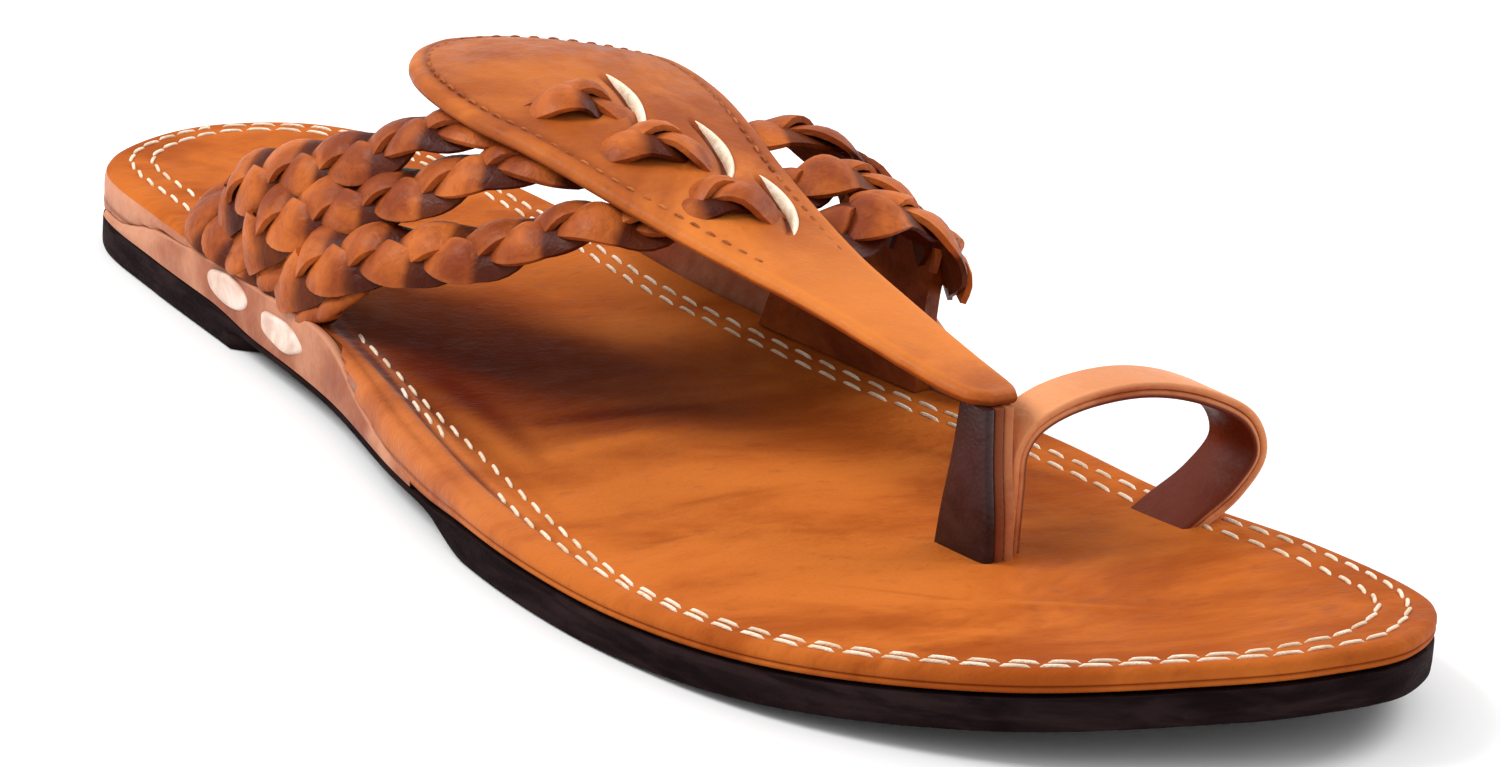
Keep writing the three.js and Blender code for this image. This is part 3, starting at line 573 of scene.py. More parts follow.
def bed_tone(x, y, place, inset):
    """How fair or dark the top is: darker at mid-foot, which is wear and painted shade under the
    vamp, the plaits and the toe ring; fair at the ball; a painted highlight on the roll's ridges with
    painted shade between them; painted shade in the creases and painted light on their ridges.
    """
    tone = 0.5 + sum(change * bell(x - cx, rx) * bell(y - cy, ry) for cx, cy, rx, ry, change in SHADE_AND_WEAR_PLACES)
    tone = tone - 0.10 * bell(inset, 2.0)
    roll, off = rim_roll(place, inset)
    # the roll's ridges get a painted highlight and the hollow between them painted shade
    ridges = bell(off, 0.9) + 0.8 * bell(off - RIDGE_APART, 0.7)
    tone += np.minimum(1, roll) * (0.3 * ridges - 0.34 * bell(off - 1.8, 0.6))
    # the creases' tone follows their relief: painted shade in the troughs, painted light on the ridges
    return np.clip(tone + 1.3 * crease_relief(x, y), 0.02, 0.98)


def on_bed(at, place, inset):
    """Points on the top of the sole over their places in plan."""
    x, y = at[:, 0], at[:, 1]
    return np.column_stack([x, y, insole_top(x) + bed_relief(x, y, place, inset)])


print("stitch lines at the toe:", stitch_insets(0.5).round(1))

# %% [markdown]
# The cover starts low on the sole's wall, comes up round the edge and runs in over the rim.
# The wall has one pressed groove, and it stands back where a side panel lies over it. Behind the
# waist the wall is the paler, pinkish leather that the panels are cut from, as a second finish.

# %% Insole
RIM_INSETS = [2.0, 2.8, 3.6, 4.4, 5.2, 6.0, 6.8, 7.6, 8.4, 9.2, 10.0, 10.8, 11.8, 13.0]
GROOVE_DROP = -0.66
SECTION = [
    # distance in from the edge, height as a share of the wall's depth, tone; the groove's row is darker, as
    # painted shade
    (0.95, -1.00, 0.30), (0.45, -0.96, 0.26), (0.10, -0.86, 0.36), (0.02, -0.74, 0.42),
    (0.30, GROOVE_DROP, 0.2), (0.06, -0.58, 0.42), (0.0, -0.44, 0.46), (0.04, -0.28, 0.5),
    (0.30, -0.14, 0.52), (0.80, -0.05, 0.5), (1.40, -0.01, 0.48),
]
ACROSS = 100
PALE_WALL_END = 0.45


def insole():
    x_edge = EDGE[:, 0]
    depth = insole_top(x_edge) - midsole_bottom(x_edge) - 0.1
    little = PLACES < 0.5
    panel = np.where(little, panel_top("little", x_edge), panel_top("big", x_edge))
    start = LITTLE_PANEL[0][0] * SOLE_LENGTH
    end = np.where(little, LITTLE_PANEL[-1][0], BIG_PANEL[-1][0]) * SOLE_LENGTH
    reach = ease(x_edge, start - 1.5, start) * (1 - ease(x_edge, end - PANEL_FADE, end))
    heel = 1 - ease(x_edge / SOLE_LENGTH, 0.5, 0.66)
    roll = read(ROLL, PLACES)[:, 0]
    points, tone = [], []
    for inset, drop, shade in SECTION:
        z = insole_top(x_edge) + drop * depth + 0.75 * roll * (1 + drop)
        push = inset * (1 - 0.8 * heel if drop == GROOVE_DROP else np.ones(EDGE_COUNT))
        push = push + 1.9 * reach * ease(panel + 0.25 - z, 0, 0.7)
        points.append(np.column_stack([EDGE - OUT * push[:, None], z]))
        tone.append(shade - 0.06 * heel * (drop < -0.2))
    for inset in RIM_INSETS:
        at = EDGE - OUT * inset
        points.append(on_bed(at, PLACES, inset))
        tone.append(bed_tone(at[:, 0], at[:, 1], PLACES, inset))
    rings = len(points)
    last, base = points[-1], (rings - 1) * EDGE_COUNT
    t = np.arange(1, ACROSS)[:, None] / ACROSS
    rows = []
    for i in range(1, TOE):
        a, b = last[i], last[-i]
        inside = a + (b - a) * t
        away = np.minimum(t, 1 - t)[:, 0] * np.linalg.norm(b[:2] - a[:2]) + RIM_INSETS[-1]
        place = np.where(t[:, 0] < 0.5, PLACES[i], PLACES[-i])
        first = rings * EDGE_COUNT + (i - 1) * (ACROSS - 1)
        points.append(on_bed(inside, place, away))
        tone.append(bed_tone(inside[:, 0], inside[:, 1], place, away))
        rows.append([base + i, *range(first, first + ACROSS - 1), base + EDGE_COUNT - i])
    faces = ring_faces(rings, EDGE_COUNT)
    for r, s in zip(rows, rows[1:]):
        faces += [(r[j], r[j + 1], s[j + 1], s[j]) for j in range(ACROSS)]
    for tip, row in ((base, rows[0]), (base + TOE, rows[-1])):
        faces += [(tip, row[j], row[j + 1]) for j in range(ACROSS)]
    faces += rung_faces(0)
    points, tone = np.concatenate(points), np.concatenate(tone)
    inset = np.array([0.0] * len(SECTION) + RIM_INSETS)
    polish = np.zeros(len(points))
    polish[:rings * EDGE_COUNT] = (bell(inset ** 2, 7.0 ** 2)[:, None] * np.minimum(1, roll * 0.9)).ravel()
    cover = make("insole_cover", points, faces, INSOLE_LEATHER, "tan_leather", "insole", "midsole",
                 tone=tone, polish=polish)
    cover.data.materials.append(SIDE_LEATHER)
    wall = EDGE_COUNT * (len(SECTION) - 2)
    for face in cover.data.polygons:
        rear = min(x_edge[v % EDGE_COUNT] for v in face.vertices) < PALE_WALL_END * SOLE_LENGTH
        if rear and max(face.vertices) < wall:
            face.material_index = 1


insole()
print("insole done")

# %% [markdown]
# Two rows of cream thread hold the layers together, and one of them wanders at the waist.
# Each visible stitch is a short thread that dips into the leather at both ends, so a round tube
# with tapered ends is enough. They are all one piece, because a sandal has more than two hundred.

# %% Sole stitching
STITCH_PITCH = 5.0
STITCH_LENGTH = 4.2
THREAD_RADIUS = 0.29
THREAD_RISE = 0.34
THREAD_SINK = 0.12
HIDDEN_STITCHES = [[(0.132, 0.224), (0.249, 0.276)], [(0.135, 0.203)]]


def along_line(line):
    """The distance along a line at each of its points."""
    return np.concatenate([[0], np.cumsum(np.linalg.norm(np.diff(line, axis=0), axis=1))])


def stitches():
    chance = random.Random(4)
    fine = np.linspace(0, 1, 4001)
    s = np.linspace(-1, 1, 7)
    paths = []
    for row, hidden in enumerate(HIDDEN_STITCHES):
        inset = stitch_insets(fine)[:, row]
        length = along_line(inside_edge(fine, inset))
        count = int(length[-1] / STITCH_PITCH)
        for k in range(count):
            middle = (k + 0.5 * row) * length[-1] / count
            place = float(np.interp(middle, length, fine))
            if any(a < place < b for a, b in hidden):
                continue
            half = STITCH_LENGTH / 2 * chance.uniform(0.94, 1.05)
            slant = 0.28 + chance.uniform(-0.08, 0.08)
            where = np.interp(middle + s * half, length, fine)
            d = np.interp(where, fine, inset) - slant * s
            path = on_bed(inside_edge(where, d), where, d)
            path[:, 2] += THREAD_RISE * np.sqrt(1 - s ** 2) - THREAD_SINK
            paths.append(path)
    tones = [chance.uniform(0.4, 0.75) for _ in paths]
    threads("sole_stitching", paths, THREAD_RADIUS, 7, THREAD, tones)
    return len(paths)


print("stitches:", stitches())

# %% [markdown]
# Under the leather lies a black sheet sole, thick in front and thin at the waist, and a block
# under the heel. Their edges are cut by knife and rubbed, so they are flat with tiny chips.
# Both are lofted from the same outline; the sheet has a small random wander at its upper edge.

# %% Black sole and heel
NICK_DEPTH = 0.35
NICK_SPREAD = [0.2, 0.6, 1, 0.6, 0.2]
HEEL_ROWS = [
    # distance in from the edge, height, distance of the front face behind the block's length
    (0.7, 0.0, 1.4), (0.25, 0.25, 0.7), (0.06, 0.7, 0.4), (0.0, 1.6, 0.1), (0.0, 2.6, 0.0), (0.0, 3.14, 0.1),
]


def chips(count, depth, seed):
    """Small nicks along a cut edge."""
    rough = np.maximum(0, np.random.default_rng(seed).normal(size=count) - 1.1)
    return depth * np.convolve(np.concatenate([rough[-2:], rough, rough[:2]]), NICK_SPREAD, "valid")


def outsole():
    x = EDGE[:, 0]
    low, high = outsole_bottom(x), outsole_top(x)
    nick = chips(EDGE_COUNT, NICK_DEPTH, 5)
    cut = ease(x, HEEL_LIFT_LENGTH - 4, HEEL_LIFT_LENGTH)
    rows = [
        # distance in from the edge, height, tone; the pale row on the upper arris is a painted highlight
        (3.0, low, 0.3), (0.9 * cut, low, 0.3), (0.35 * cut, low + 0.2, 0.35), (0.08 * cut, low + 0.55, 0.4),
        (0.0, mix(low, high, 0.35), 0.45), (0.0, mix(low, high, 0.7), 0.48),
        (0.02, high - 0.35 - nick * 0.5, 0.5), (0.18 + nick, high - 0.08 - nick * 0.3, 0.75),
        (1.2, high, 0.5),
    ]
    points = [np.column_stack([EDGE - OUT * np.reshape(inset, (-1, 1)), z]) for inset, z, _ in rows]
    faces = ring_faces(len(rows), EDGE_COUNT) + rung_faces(0) + rung_faces((len(rows) - 1) * EDGE_COUNT)
    make("black_outsole", np.concatenate(points), faces, SOLE_SHEET, "black_sole", "outsole",
         tone=np.repeat([row[2] for row in rows], EDGE_COUNT), sharp=50)


def heel_block():
    keep = EDGE[:, 0] < HEEL_LIFT_LENGTH - HEEL_BREAST_CURVE
    little, big = np.flatnonzero(keep & (PLACES < 0.5)), np.flatnonzero(keep & (PLACES >= 0.5))
    t = np.linspace(-1, 1, 33)
    rings = []
    wide = np.interp(HEEL_LIFT_LENGTH, *EDGE[TOE:][::-1].T)
    for inset, z, back in HEEL_ROWS:
        front = HEEL_LIFT_LENGTH - back - HEEL_BREAST_CURVE * (1 - t * t)
        face = np.column_stack([front, t * (wide - inset)])
        ring = np.concatenate([EDGE[little] - OUT[little] * inset, face, EDGE[big] - OUT[big] * inset])
        rings.append(np.column_stack([ring, np.full(len(ring), z)]))
    loft("heel_block", [(rings, 0.4)], SOLE_SHEET, "black_sole", "heel_lift", sharp=50)


outsole()
heel_block()
print("black sole done")

# %% [markdown]
# The vamp is a spade of thick leather: a broad round rear over the instep that narrows to a tip on
# the toe post. It is held by the post in front and by the plaits that pass through its slits.
# It is a loft too, from the tip to the rear, with a crowned section and softly rubbed edges. Its
# points lie half a millimetre apart, so that the slits can be pressed into it. A Boolean cutter
# would leave ragged faces along such thin curved slits.

# %% Vamp
VAMP = [
    (0.775, 0.553, 0.057, 0.030), (0.764, 0.557, 0.109, 0.070), (0.732, 0.590, 0.141, 0.100),
    (0.679, 0.657, 0.186, 0.127), (0.629, 0.726, 0.241, 0.155), (0.579, 0.795, 0.309, 0.216),
    (0.525, 0.872, 0.391, 0.292), (0.471, 0.943, 0.464, 0.382), (0.429, 0.968, 0.500, 0.452),
    (0.386, 0.977, 0.489, 0.480), (0.350, 0.944, 0.409, 0.470), (0.321, 0.906, 0.284, 0.386),
    (0.304, 0.878, 0.148, 0.250), (0.296, 0.867, 0.045, 0.091),
]
VAMP_AXIS = (0.357, 0.768, 0.042)
SLITS = [
    # start x, y, end x, y, bow towards the big-toe side
    (117.0, 3.2, 137.5, -3.2, 1.9), (134.6, 7.4, 152.4, 1.9, 2.4), (150.8, 8.3, 168.0, 2.6, 2.2),
]
SLIT_EDGE = [
    # offset from the slit's line, height over the vamp, tone; the rows that turn down into the slit are
    # darker, as painted shade
    (-1.0, -1.5, 0.25), (-0.75, -0.3, 0.45), (-0.35, 0.15, 0.7), (0.1, 0.3, 0.8), (0.5, 0.22, 0.6),
    (0.75, -0.3, 0.3),
]
VAMP_ROUND = 1.3
VAMP_SEAM_INSET = 2.9
VAMP_SEAM_FRONT = 175.0
VAMP_REAR = 150


def vamp_axis(x):
    rear, front, across = VAMP_AXIS
    return across * BALL_WIDTH * (np.asarray(x) / SOLE_LENGTH - rear) / (front - rear)


def vamp_at(x, y):
    height = insole_top(x) + INSTEP_HEIGHT * read(VAMP, np.asarray(x) / SOLE_LENGTH)[..., 0]
    return height - VAMP_CROWN * ((y - vamp_axis(x)) / (VAMP_WIDTH / 2)) ** 2


def slit_place(x, y, slit):
    """Share along a slit and distance from it, positive towards the big-toe side."""
    x0, y0, x1, y1, bow = slit
    run = np.array([x1 - x0, y1 - y0])
    span = math.hypot(*run)
    t = ((x - x0) * run[0] + (y - y0) * run[1]) / span ** 2
    aside = ((y - y0) * run[0] - (x - x0) * run[1]) / span
    return t, aside - bow * 4 * t * (1 - t)


def slit_depth(x, y):
    depth = np.zeros_like(x)
    for slit in SLITS:
        t, aside = slit_place(x, y, slit)
        lens = np.sqrt(np.clip(4 * t * (1 - t), 0, 1))
        depth += 1.5 * lens * bell(aside + 1.0, np.maximum(0.95 * lens, 0.1))
    return depth


def slit_edges():
    """The pale raw edge that each slit shows on its big-toe side."""
    parts = []
    t = np.linspace(0.0, 1.0, 40)
    lens = np.sqrt(np.clip(4 * t * (1 - t), 0.02, 1))
    for x0, y0, x1, y1, bow in SLITS:
        span = math.hypot(x1 - x0, y1 - y0)
        aside = np.array([y0 - y1, x1 - x0]) / span
        rows = []
        for offset, lift, _ in SLIT_EDGE:
            away = bow * 4 * t * (1 - t) + offset * lens * 0.8
            at = np.array([x0, y0]) + t[:, None] * np.array([x1 - x0, y1 - y0]) + away[:, None] * aside
            z = vamp_at(at[:, 0], at[:, 1]) + VAMP_THICKNESS / 2 + lift * lens - 0.1 * (1 - lens)
            rows.append(np.column_stack([at, z]))
        parts.append((np.stack(rows, 1), [row[2] for row in SLIT_EDGE]))
    loft("slit_edges", parts, THREAD, "rawhide", sharp=80)


def crowded(share, strength):
    """Shares from 0 to 1 that lie closer together at both ends."""
    return share - strength * np.sin(2 * math.pi * share) / (2 * math.pi)


def vamp():
    along = mix(VAMP[0][0], VAMP[-1][0], crowded(np.linspace(0, 1, 250), 0.82))
    x = along * SOLE_LENGTH
    _, little, big = (read(VAMP, along) * VAMP_WIDTH).T[:, :, None]
    y = vamp_axis(x)[:, None] + mix(-little, big, crowded(np.linspace(0, 1, 88), 0.7))
    xs = np.broadcast_to(x[:, None], y.shape)
    rim = np.minimum.reduce([y - y[:, :1], y[:, -1:] - y, xs - x.min(), x.max() - xs])
    thin = VAMP_THICKNESS / 2 * np.sqrt(np.clip(1 - (1 - np.clip(rim / VAMP_ROUND, 0, 1)) ** 2, 0.03, 1))
    middle = vamp_at(xs, y) + 0.16 * np.sin(xs / 9.0 + y / 14) * bell(rim, 9)
    seam = 0.16 * bell(rim - VAMP_SEAM_INSET, 0.5) * (xs < VAMP_REAR)
    slit = slit_depth(xs, y)
    upper = np.stack([xs, y, middle + thin - seam - slit], -1)
    lower = np.stack([xs, y, middle - thin], -1)[:, ::-1]
    tone = 0.5 + 0.1 * bell(rim - 1.0, 0.7) - 0.14 * bell(rim - VAMP_SEAM_INSET, 0.6) * (xs < VAMP_REAR)
    tone += 0.34 * bell(xs - 186, 22) - 0.2 * (1 - ease(xs, 110, 190))
    # painted shade in the slits' pressed hollows, where the plaits go under
    tone = np.clip(tone - 0.4 * slit, 0.02, 1)
    # the underside is painted darker, as shade
    tone = np.concatenate([tone, np.full_like(tone, 0.22)], 1)
    loft("vamp_spade", [(np.concatenate([upper, lower], 1), tone)], VAMP_LEATHER, "tan_leather", "vamp")


vamp()
slit_edges()
print("vamp done")

# %% [markdown]
# A single row of fine tan thread runs just inside the vamp's rear rim.
# It follows the pressed line, and like the sole's thread it dips into the leather at each hole.

# %% Vamp stitches
VAMP_STITCH_PITCH = 3.0
VAMP_STITCH_HALF = 0.95
VAMP_THREAD_RADIUS = 0.24


def vamp_stitches():
    chance = random.Random(8)
    x = np.linspace(VAMP_SEAM_FRONT, VAMP[-1][0] * SOLE_LENGTH, 300)
    table = read(VAMP, x / SOLE_LENGTH) * VAMP_WIDTH
    little = np.column_stack([x, vamp_axis(x) - table[:, 1]])
    big = np.column_stack([x, vamp_axis(x) + table[:, 2]])
    rim = np.concatenate([little, big[::-1]])
    heading = unit(np.gradient(rim, axis=0))
    line = rim + np.column_stack([heading[:, 1], -heading[:, 0]]) * VAMP_SEAM_INSET
    line = line[line[:, 0] > x.min() + VAMP_SEAM_INSET * 0.9]
    length = along_line(line)
    s = np.linspace(-1, 1, 6)
    paths = []
    for middle in np.arange(2, length[-1] - 2, VAMP_STITCH_PITCH):
        px, py = (np.interp(middle + s * VAMP_STITCH_HALF, length, line[:, c]) for c in (0, 1))
        z = vamp_at(px, py) + VAMP_THICKNESS / 2 - 0.02 - 0.2 * s * s
        paths.append(np.column_stack([px, py, z]))
    tones = [chance.uniform(0.3, 0.6) for _ in paths]
    threads("vamp_stitching", paths, VAMP_THREAD_RADIUS, 6, VAMP_THREAD, tones)
    return len(paths)


print("vamp stitches:", vamp_stitches())

# %% [markdown]
# The plaits are what makes this sandal: three flat three-strand plaits of folded leather that run
# from the little-toe edge, up through slits in the vamp, over it and down on the other side.
# A plait could be a textured strip, but then the light would not catch each turn. Here each
# strand swings from side to side while it rises and dips twice as fast, which is exactly what a
# hand does. A strand is full where it lies on top and pinched where it turns under, which gives
# the row of leaves that the eye sees.

# %% Plait lines
PLAITS = [
    # a row for each place: along, across, and height over the insole as a share of the instep's,
    # or in rows 4 to 12 the level over the vamp's middle, where 1 lies on it and -1 under it
    [(0.229, -0.285, 0.125), (0.257, -0.318, 0.270), (0.300, -0.302, 0.430), (0.357, -0.260, 0.610),
     (0.395, -0.222, -1.3), (0.415, -0.195, -1.1), (0.430, -0.160, -0.95), (0.441, -0.122, 0.05),
     (0.447, -0.090, 0.85), (0.451, -0.062, 0.9), (0.456, -0.030, 0), (0.461, 0.015, -1),
     (0.462, 0.160, -1.35), (0.470, 0.281, 0.835), (0.484, 0.362, 0.720), (0.496, 0.386, 0.580),
     (0.500, 0.384, 0.450)],
    [(0.279, -0.314, 0.125), (0.300, -0.344, 0.225), (0.357, -0.306, 0.420), (0.414, -0.255, 0.611),
     (0.452, -0.198, -1.25), (0.469, -0.161, -1.1), (0.483, -0.123, -0.95), (0.494, -0.081, 0.05),
     (0.500, -0.046, 0.85), (0.505, -0.014, 0.9), (0.510, 0.020, 0), (0.514, 0.064, -1),
     (0.519, 0.152, -1.15), (0.520, 0.260, 0.800), (0.527, 0.345, 0.700), (0.531, 0.388, 0.570),
     (0.528, 0.390, 0.440)],
    [(0.329, -0.326, 0.125), (0.354, -0.356, 0.190), (0.400, -0.334, 0.330), (0.471, -0.250, 0.510),
     (0.519, -0.170, -1.25), (0.535, -0.125, -1.1), (0.545, -0.095, -0.95), (0.554, -0.052, 0.05),
     (0.558, -0.024, 0.85), (0.562, 0.002, 0.9), (0.566, 0.033, 0), (0.568, 0.076, -1),
     (0.568, 0.150, -1.15), (0.564, 0.255, 0.770), (0.563, 0.343, 0.655), (0.560, 0.394, 0.540),
     (0.552, 0.404, 0.430)],
]
ON_VAMP = range(4, 13)
PLAIT_LEANS = [-60, -60, -55, -45, -25, -15, -10, -5, 0, 0, 5, 8, 20, 45, 70, 85, 90]
REAR_PLAIT_LEAN = 15
PRESS = 0.78
EDGE_PLAIT_ALONG = (0.207, 0.243, 0.286, 0.329, 0.370)


def smooth_path(points, extra, count):
    """Evenly spaced points on a smooth curve through the points, with the extra columns carried along."""
    points, extra = np.asarray(points, float), np.asarray(extra, float)
    padded = np.vstack([2 * points[0] - points[1], points, 2 * points[-1] - points[-2]])
    fine, carried = [], []
    for i in range(len(points) - 1):
        p = padded[i:i + 4]
        gaps = np.maximum(np.linalg.norm(np.diff(p, axis=0), axis=1), 1e-6) ** 0.5
        k = np.concatenate([[0], np.cumsum(gaps)])
        t = np.linspace(k[1], k[2], 40, endpoint=i == len(points) - 2)[:, None]
        a = [((k[j + 1] - t) * p[j] + (t - k[j]) * p[j + 1]) / (k[j + 1] - k[j]) for j in range(3)]
        b = [((k[j + 2] - t) * a[j] + (t - k[j]) * a[j + 1]) / (k[j + 2] - k[j]) for j in range(2)]
        fine.append(((k[2] - t) * b[0] + (t - k[1]) * b[1]) / (k[2] - k[1]))
        share = (t - k[1]) / (k[2] - k[1])
        carried.append(extra[i] + (extra[i + 1] - extra[i]) * share)
    fine, carried = np.vstack(fine), np.vstack(carried)
    length = along_line(fine)
    even = np.linspace(0, length[-1], count)
    path, rest = (np.column_stack([np.interp(even, length, column) for column in table.T])
                  for table in (fine, carried))
    return path, rest, length[-1]


def plait_frame(points, leans, count):
    path, lean, length = smooth_path(points, np.asarray(leans)[:, None], count)
    tangent = unit(np.gradient(path, axis=0))
    angle = np.radians(lean[:, 0])
    out = np.column_stack([0 * angle, np.sin(angle), np.cos(angle)])
    out = unit(out - tangent * (out * tangent).sum(1, keepdims=True))
    return path, tangent, out, np.cross(tangent, out), length


def plait_points(rows):
    """The middle line of a plait, and how far it leans at each place."""
    clear = (VAMP_THICKNESS + PLAIT_THICKNESS) / 2 + 2 * FIT
    points = []
    for number, (along, across, height) in enumerate(rows):
        x, y = along * SOLE_LENGTH, across * BALL_WIDTH
        if number in ON_VAMP:
            z = vamp_at(x, y) + (height * PRESS if height > 0.5 else height) * clear
        else:
            z = insole_top(x) + height * INSTEP_HEIGHT
        points.append((x, y, float(z)))
    leans = list(PLAIT_LEANS)
    if rows is PLAITS[0]:
        leans[ON_VAMP[-1]] = REAR_PLAIT_LEAN
    return points, leans


def edge_plait_points():
    tilt = math.radians(EDGE_PLAIT_TILT)
    half_width, half_depth = EDGE_PLAIT_WIDTH / 2, EDGE_PLAIT_THICKNESS / 2
    inset = half_width * math.cos(tilt) + half_depth * math.sin(tilt)
    seat = half_width * math.sin(tilt) + half_depth * math.cos(tilt) + FIT
    points = []
    for along in EDGE_PLAIT_ALONG:
        at = inside_edge(edge_place("little", along), inset)
        points.append((at[0], at[1], float(insole_top(at[0])) + seat))
    return points, [-EDGE_PLAIT_TILT] * len(points)


LINES = [plait_points(rows) for rows in PLAITS]
print("plait lengths:", [round(plait_frame(*line, 200)[4]) for line in LINES])

# %% [markdown]
# Each strand is lofted along its own swinging line. Its section is a folded strip: a crowned top
# with rolled edges over a flat underside. Where the strand dips under its neighbours it is thinner
# and narrower, and painted shade makes it darker there; its rolled edges get a painted highlight.
# A plait is wider by about a third where it is gathered, at both ends.
# Small random changes from leaf to leaf keep it from looking machine-made.

# %% Plaits
STATIONS = 30
STRAND_WIDTH = 0.64
STRAND_THICKNESS = 0.50
SECTION_TOP = 9
EDGE_PLAIT_PITCH = 26.0
START_SWELL, START_FROM, START_TO = 0.32, 4, 30
END_SWELL, END_FROM, END_TO = 0.30, 62, 30
STRAND_BANK = 0.34


def strand_section():
    """A folded strip's section, and a weight at each point: positive on the rolled edges, where a
    highlight is painted, and negative on the underside, where shade is painted.
    """
    across = np.sin(np.linspace(-math.pi / 2, math.pi / 2, SECTION_TOP))
    top = [(u, (1 - abs(u) ** 2.6) * 0.85 + 0.15) for u in across]
    under = [(u * 0.94, -0.75) for u in across[::2][::-1]]
    rim = np.array([0.6, 1.0] + [0.0] * (SECTION_TOP - 4) + [1.0, 0.6] + [-1.0] * len(under))
    return np.array(top + under).T, rim


def strand(course, width, thickness, pitch, phase, chance):
    """One strand of a plait: its points in rings, and how fair each point is."""
    path, _, out, across, length = course
    s = np.linspace(0, length, len(path))
    turns = s / pitch + phase
    angle = 2 * math.pi * turns
    top = np.sin(2 * angle)
    thick = thickness * STRAND_THICKNESS
    width = width * (1 + START_SWELL * (1 - ease(s, START_FROM, START_TO))
                     + END_SWELL * ease(s, length - END_FROM, length - END_TO))
    swing = width * (1 - STRAND_WIDTH * 0.72) / 2
    rise = (thickness - thick) / 2 * 1.15
    centre = path + across * (swing * np.sin(angle))[:, None] + out * (rise * top)[:, None]
    heading = unit(np.gradient(centre, axis=0))
    side = unit(np.cross(heading, out))
    lift = np.cross(side, heading)
    leaf = np.floor(2 * turns).astype(int)
    leaf -= leaf.min()
    draws = np.array([chance.uniform(-1, 1) for _ in range(3 * (leaf.max() + 1))]).reshape(-1, 3)[leaf]
    draws = [np.convolve(np.pad(draw, 4, mode="edge"), np.ones(9) / 9, "valid") for draw in draws.T]
    crest = np.clip(top, 0, 1)
    half_width = width * STRAND_WIDTH / 2 * (0.80 + 0.24 * crest ** 0.8) * (1 + 0.08 * draws[0])
    half_thick = thick / 2 * (0.9 + 0.4 * crest) * (1 + 0.10 * draws[1])
    bank = (-STRAND_BANK * np.sin(angle) + 0.10 * draws[2])[:, None]
    section, rim = strand_section()
    u, v = half_width[:, None] * section[0], half_thick[:, None] * section[1]
    w = (u * np.cos(bank) - v * np.sin(bank))[..., None]
    h = (u * np.sin(bank) + v * np.cos(bank))[..., None]
    # painted shade where the strand dips under its neighbours and on its underside, and a painted highlight
    # on its rolled edges where it lies on top
    shown = ease(top, -0.1, 0.55)[:, None]
    tone = 0.08 + 0.42 * shown + 0.06 * draws[0][:, None] + 0.14 * rim * shown
    return centre[:, None] + side[:, None] * w + lift[:, None] * h, np.clip(tone, 0.02, 1)


def plait(name, line, width, thickness, seed, pitch=PLAIT_PITCH):
    """Three strands, each a third of a turn behind the last."""
    chance = random.Random(seed)
    course = plait_frame(*line, int(STATIONS * plait_frame(*line, 200)[4] / pitch))
    parts = [strand(course, width, thickness, pitch, phase, chance) for phase in (0, 1 / 3, 2 / 3)]
    loft(name, parts, PLAIT_LEATHER, "strap_leather", "braided_straps")


for number, line in enumerate(LINES, 1):
    plait(f"plait_{number}", line, PLAIT_WIDTH, PLAIT_THICKNESS, 20 + number)
plait("edge_plait", edge_plait_points(), EDGE_PLAIT_WIDTH, EDGE_PLAIT_THICKNESS, 31, EDGE_PLAIT_PITCH)
print("plaits done")

# %% [markdown]
# Where the plaits are gathered at the little-toe edge, their ends are folded back and tucked in.
# They show as a bunch of broad leaves that hides the joint. Each is a small pillow with a pointed
# tip, a soft fold along its middle and a slight twist, set where the photo shows it.

# %% Folded ends
LEAVES = [
    # along x, distance inside the edge, height over the insole, length, width, heading, lean
    (60, 5.0, 5.4, 13, 8.5, 62, -38), (67, 3.2, 3.6, 12, 7.5, 12, -52), (72, 4.6, 8.2, 13, 8.5, 52, -44),
    (78, 2.6, 4.6, 15, 10.5, 34, -56), (86, 3.4, 7.6, 13, 8.5, 60, -50), (89, 2.2, 3.4, 12, 7.5, 4, -58),
    (96, 2.6, 5.6, 12.5, 8.5, 46, -56), (103, 2.4, 3.2, 12, 7.5, 14, -58), (108, 3.6, 6.0, 11, 7.0, 52, -52),
]
LEAF_THICKNESS = 2.6
LEAF_RINGS, LEAF_SIDES = 22, 20


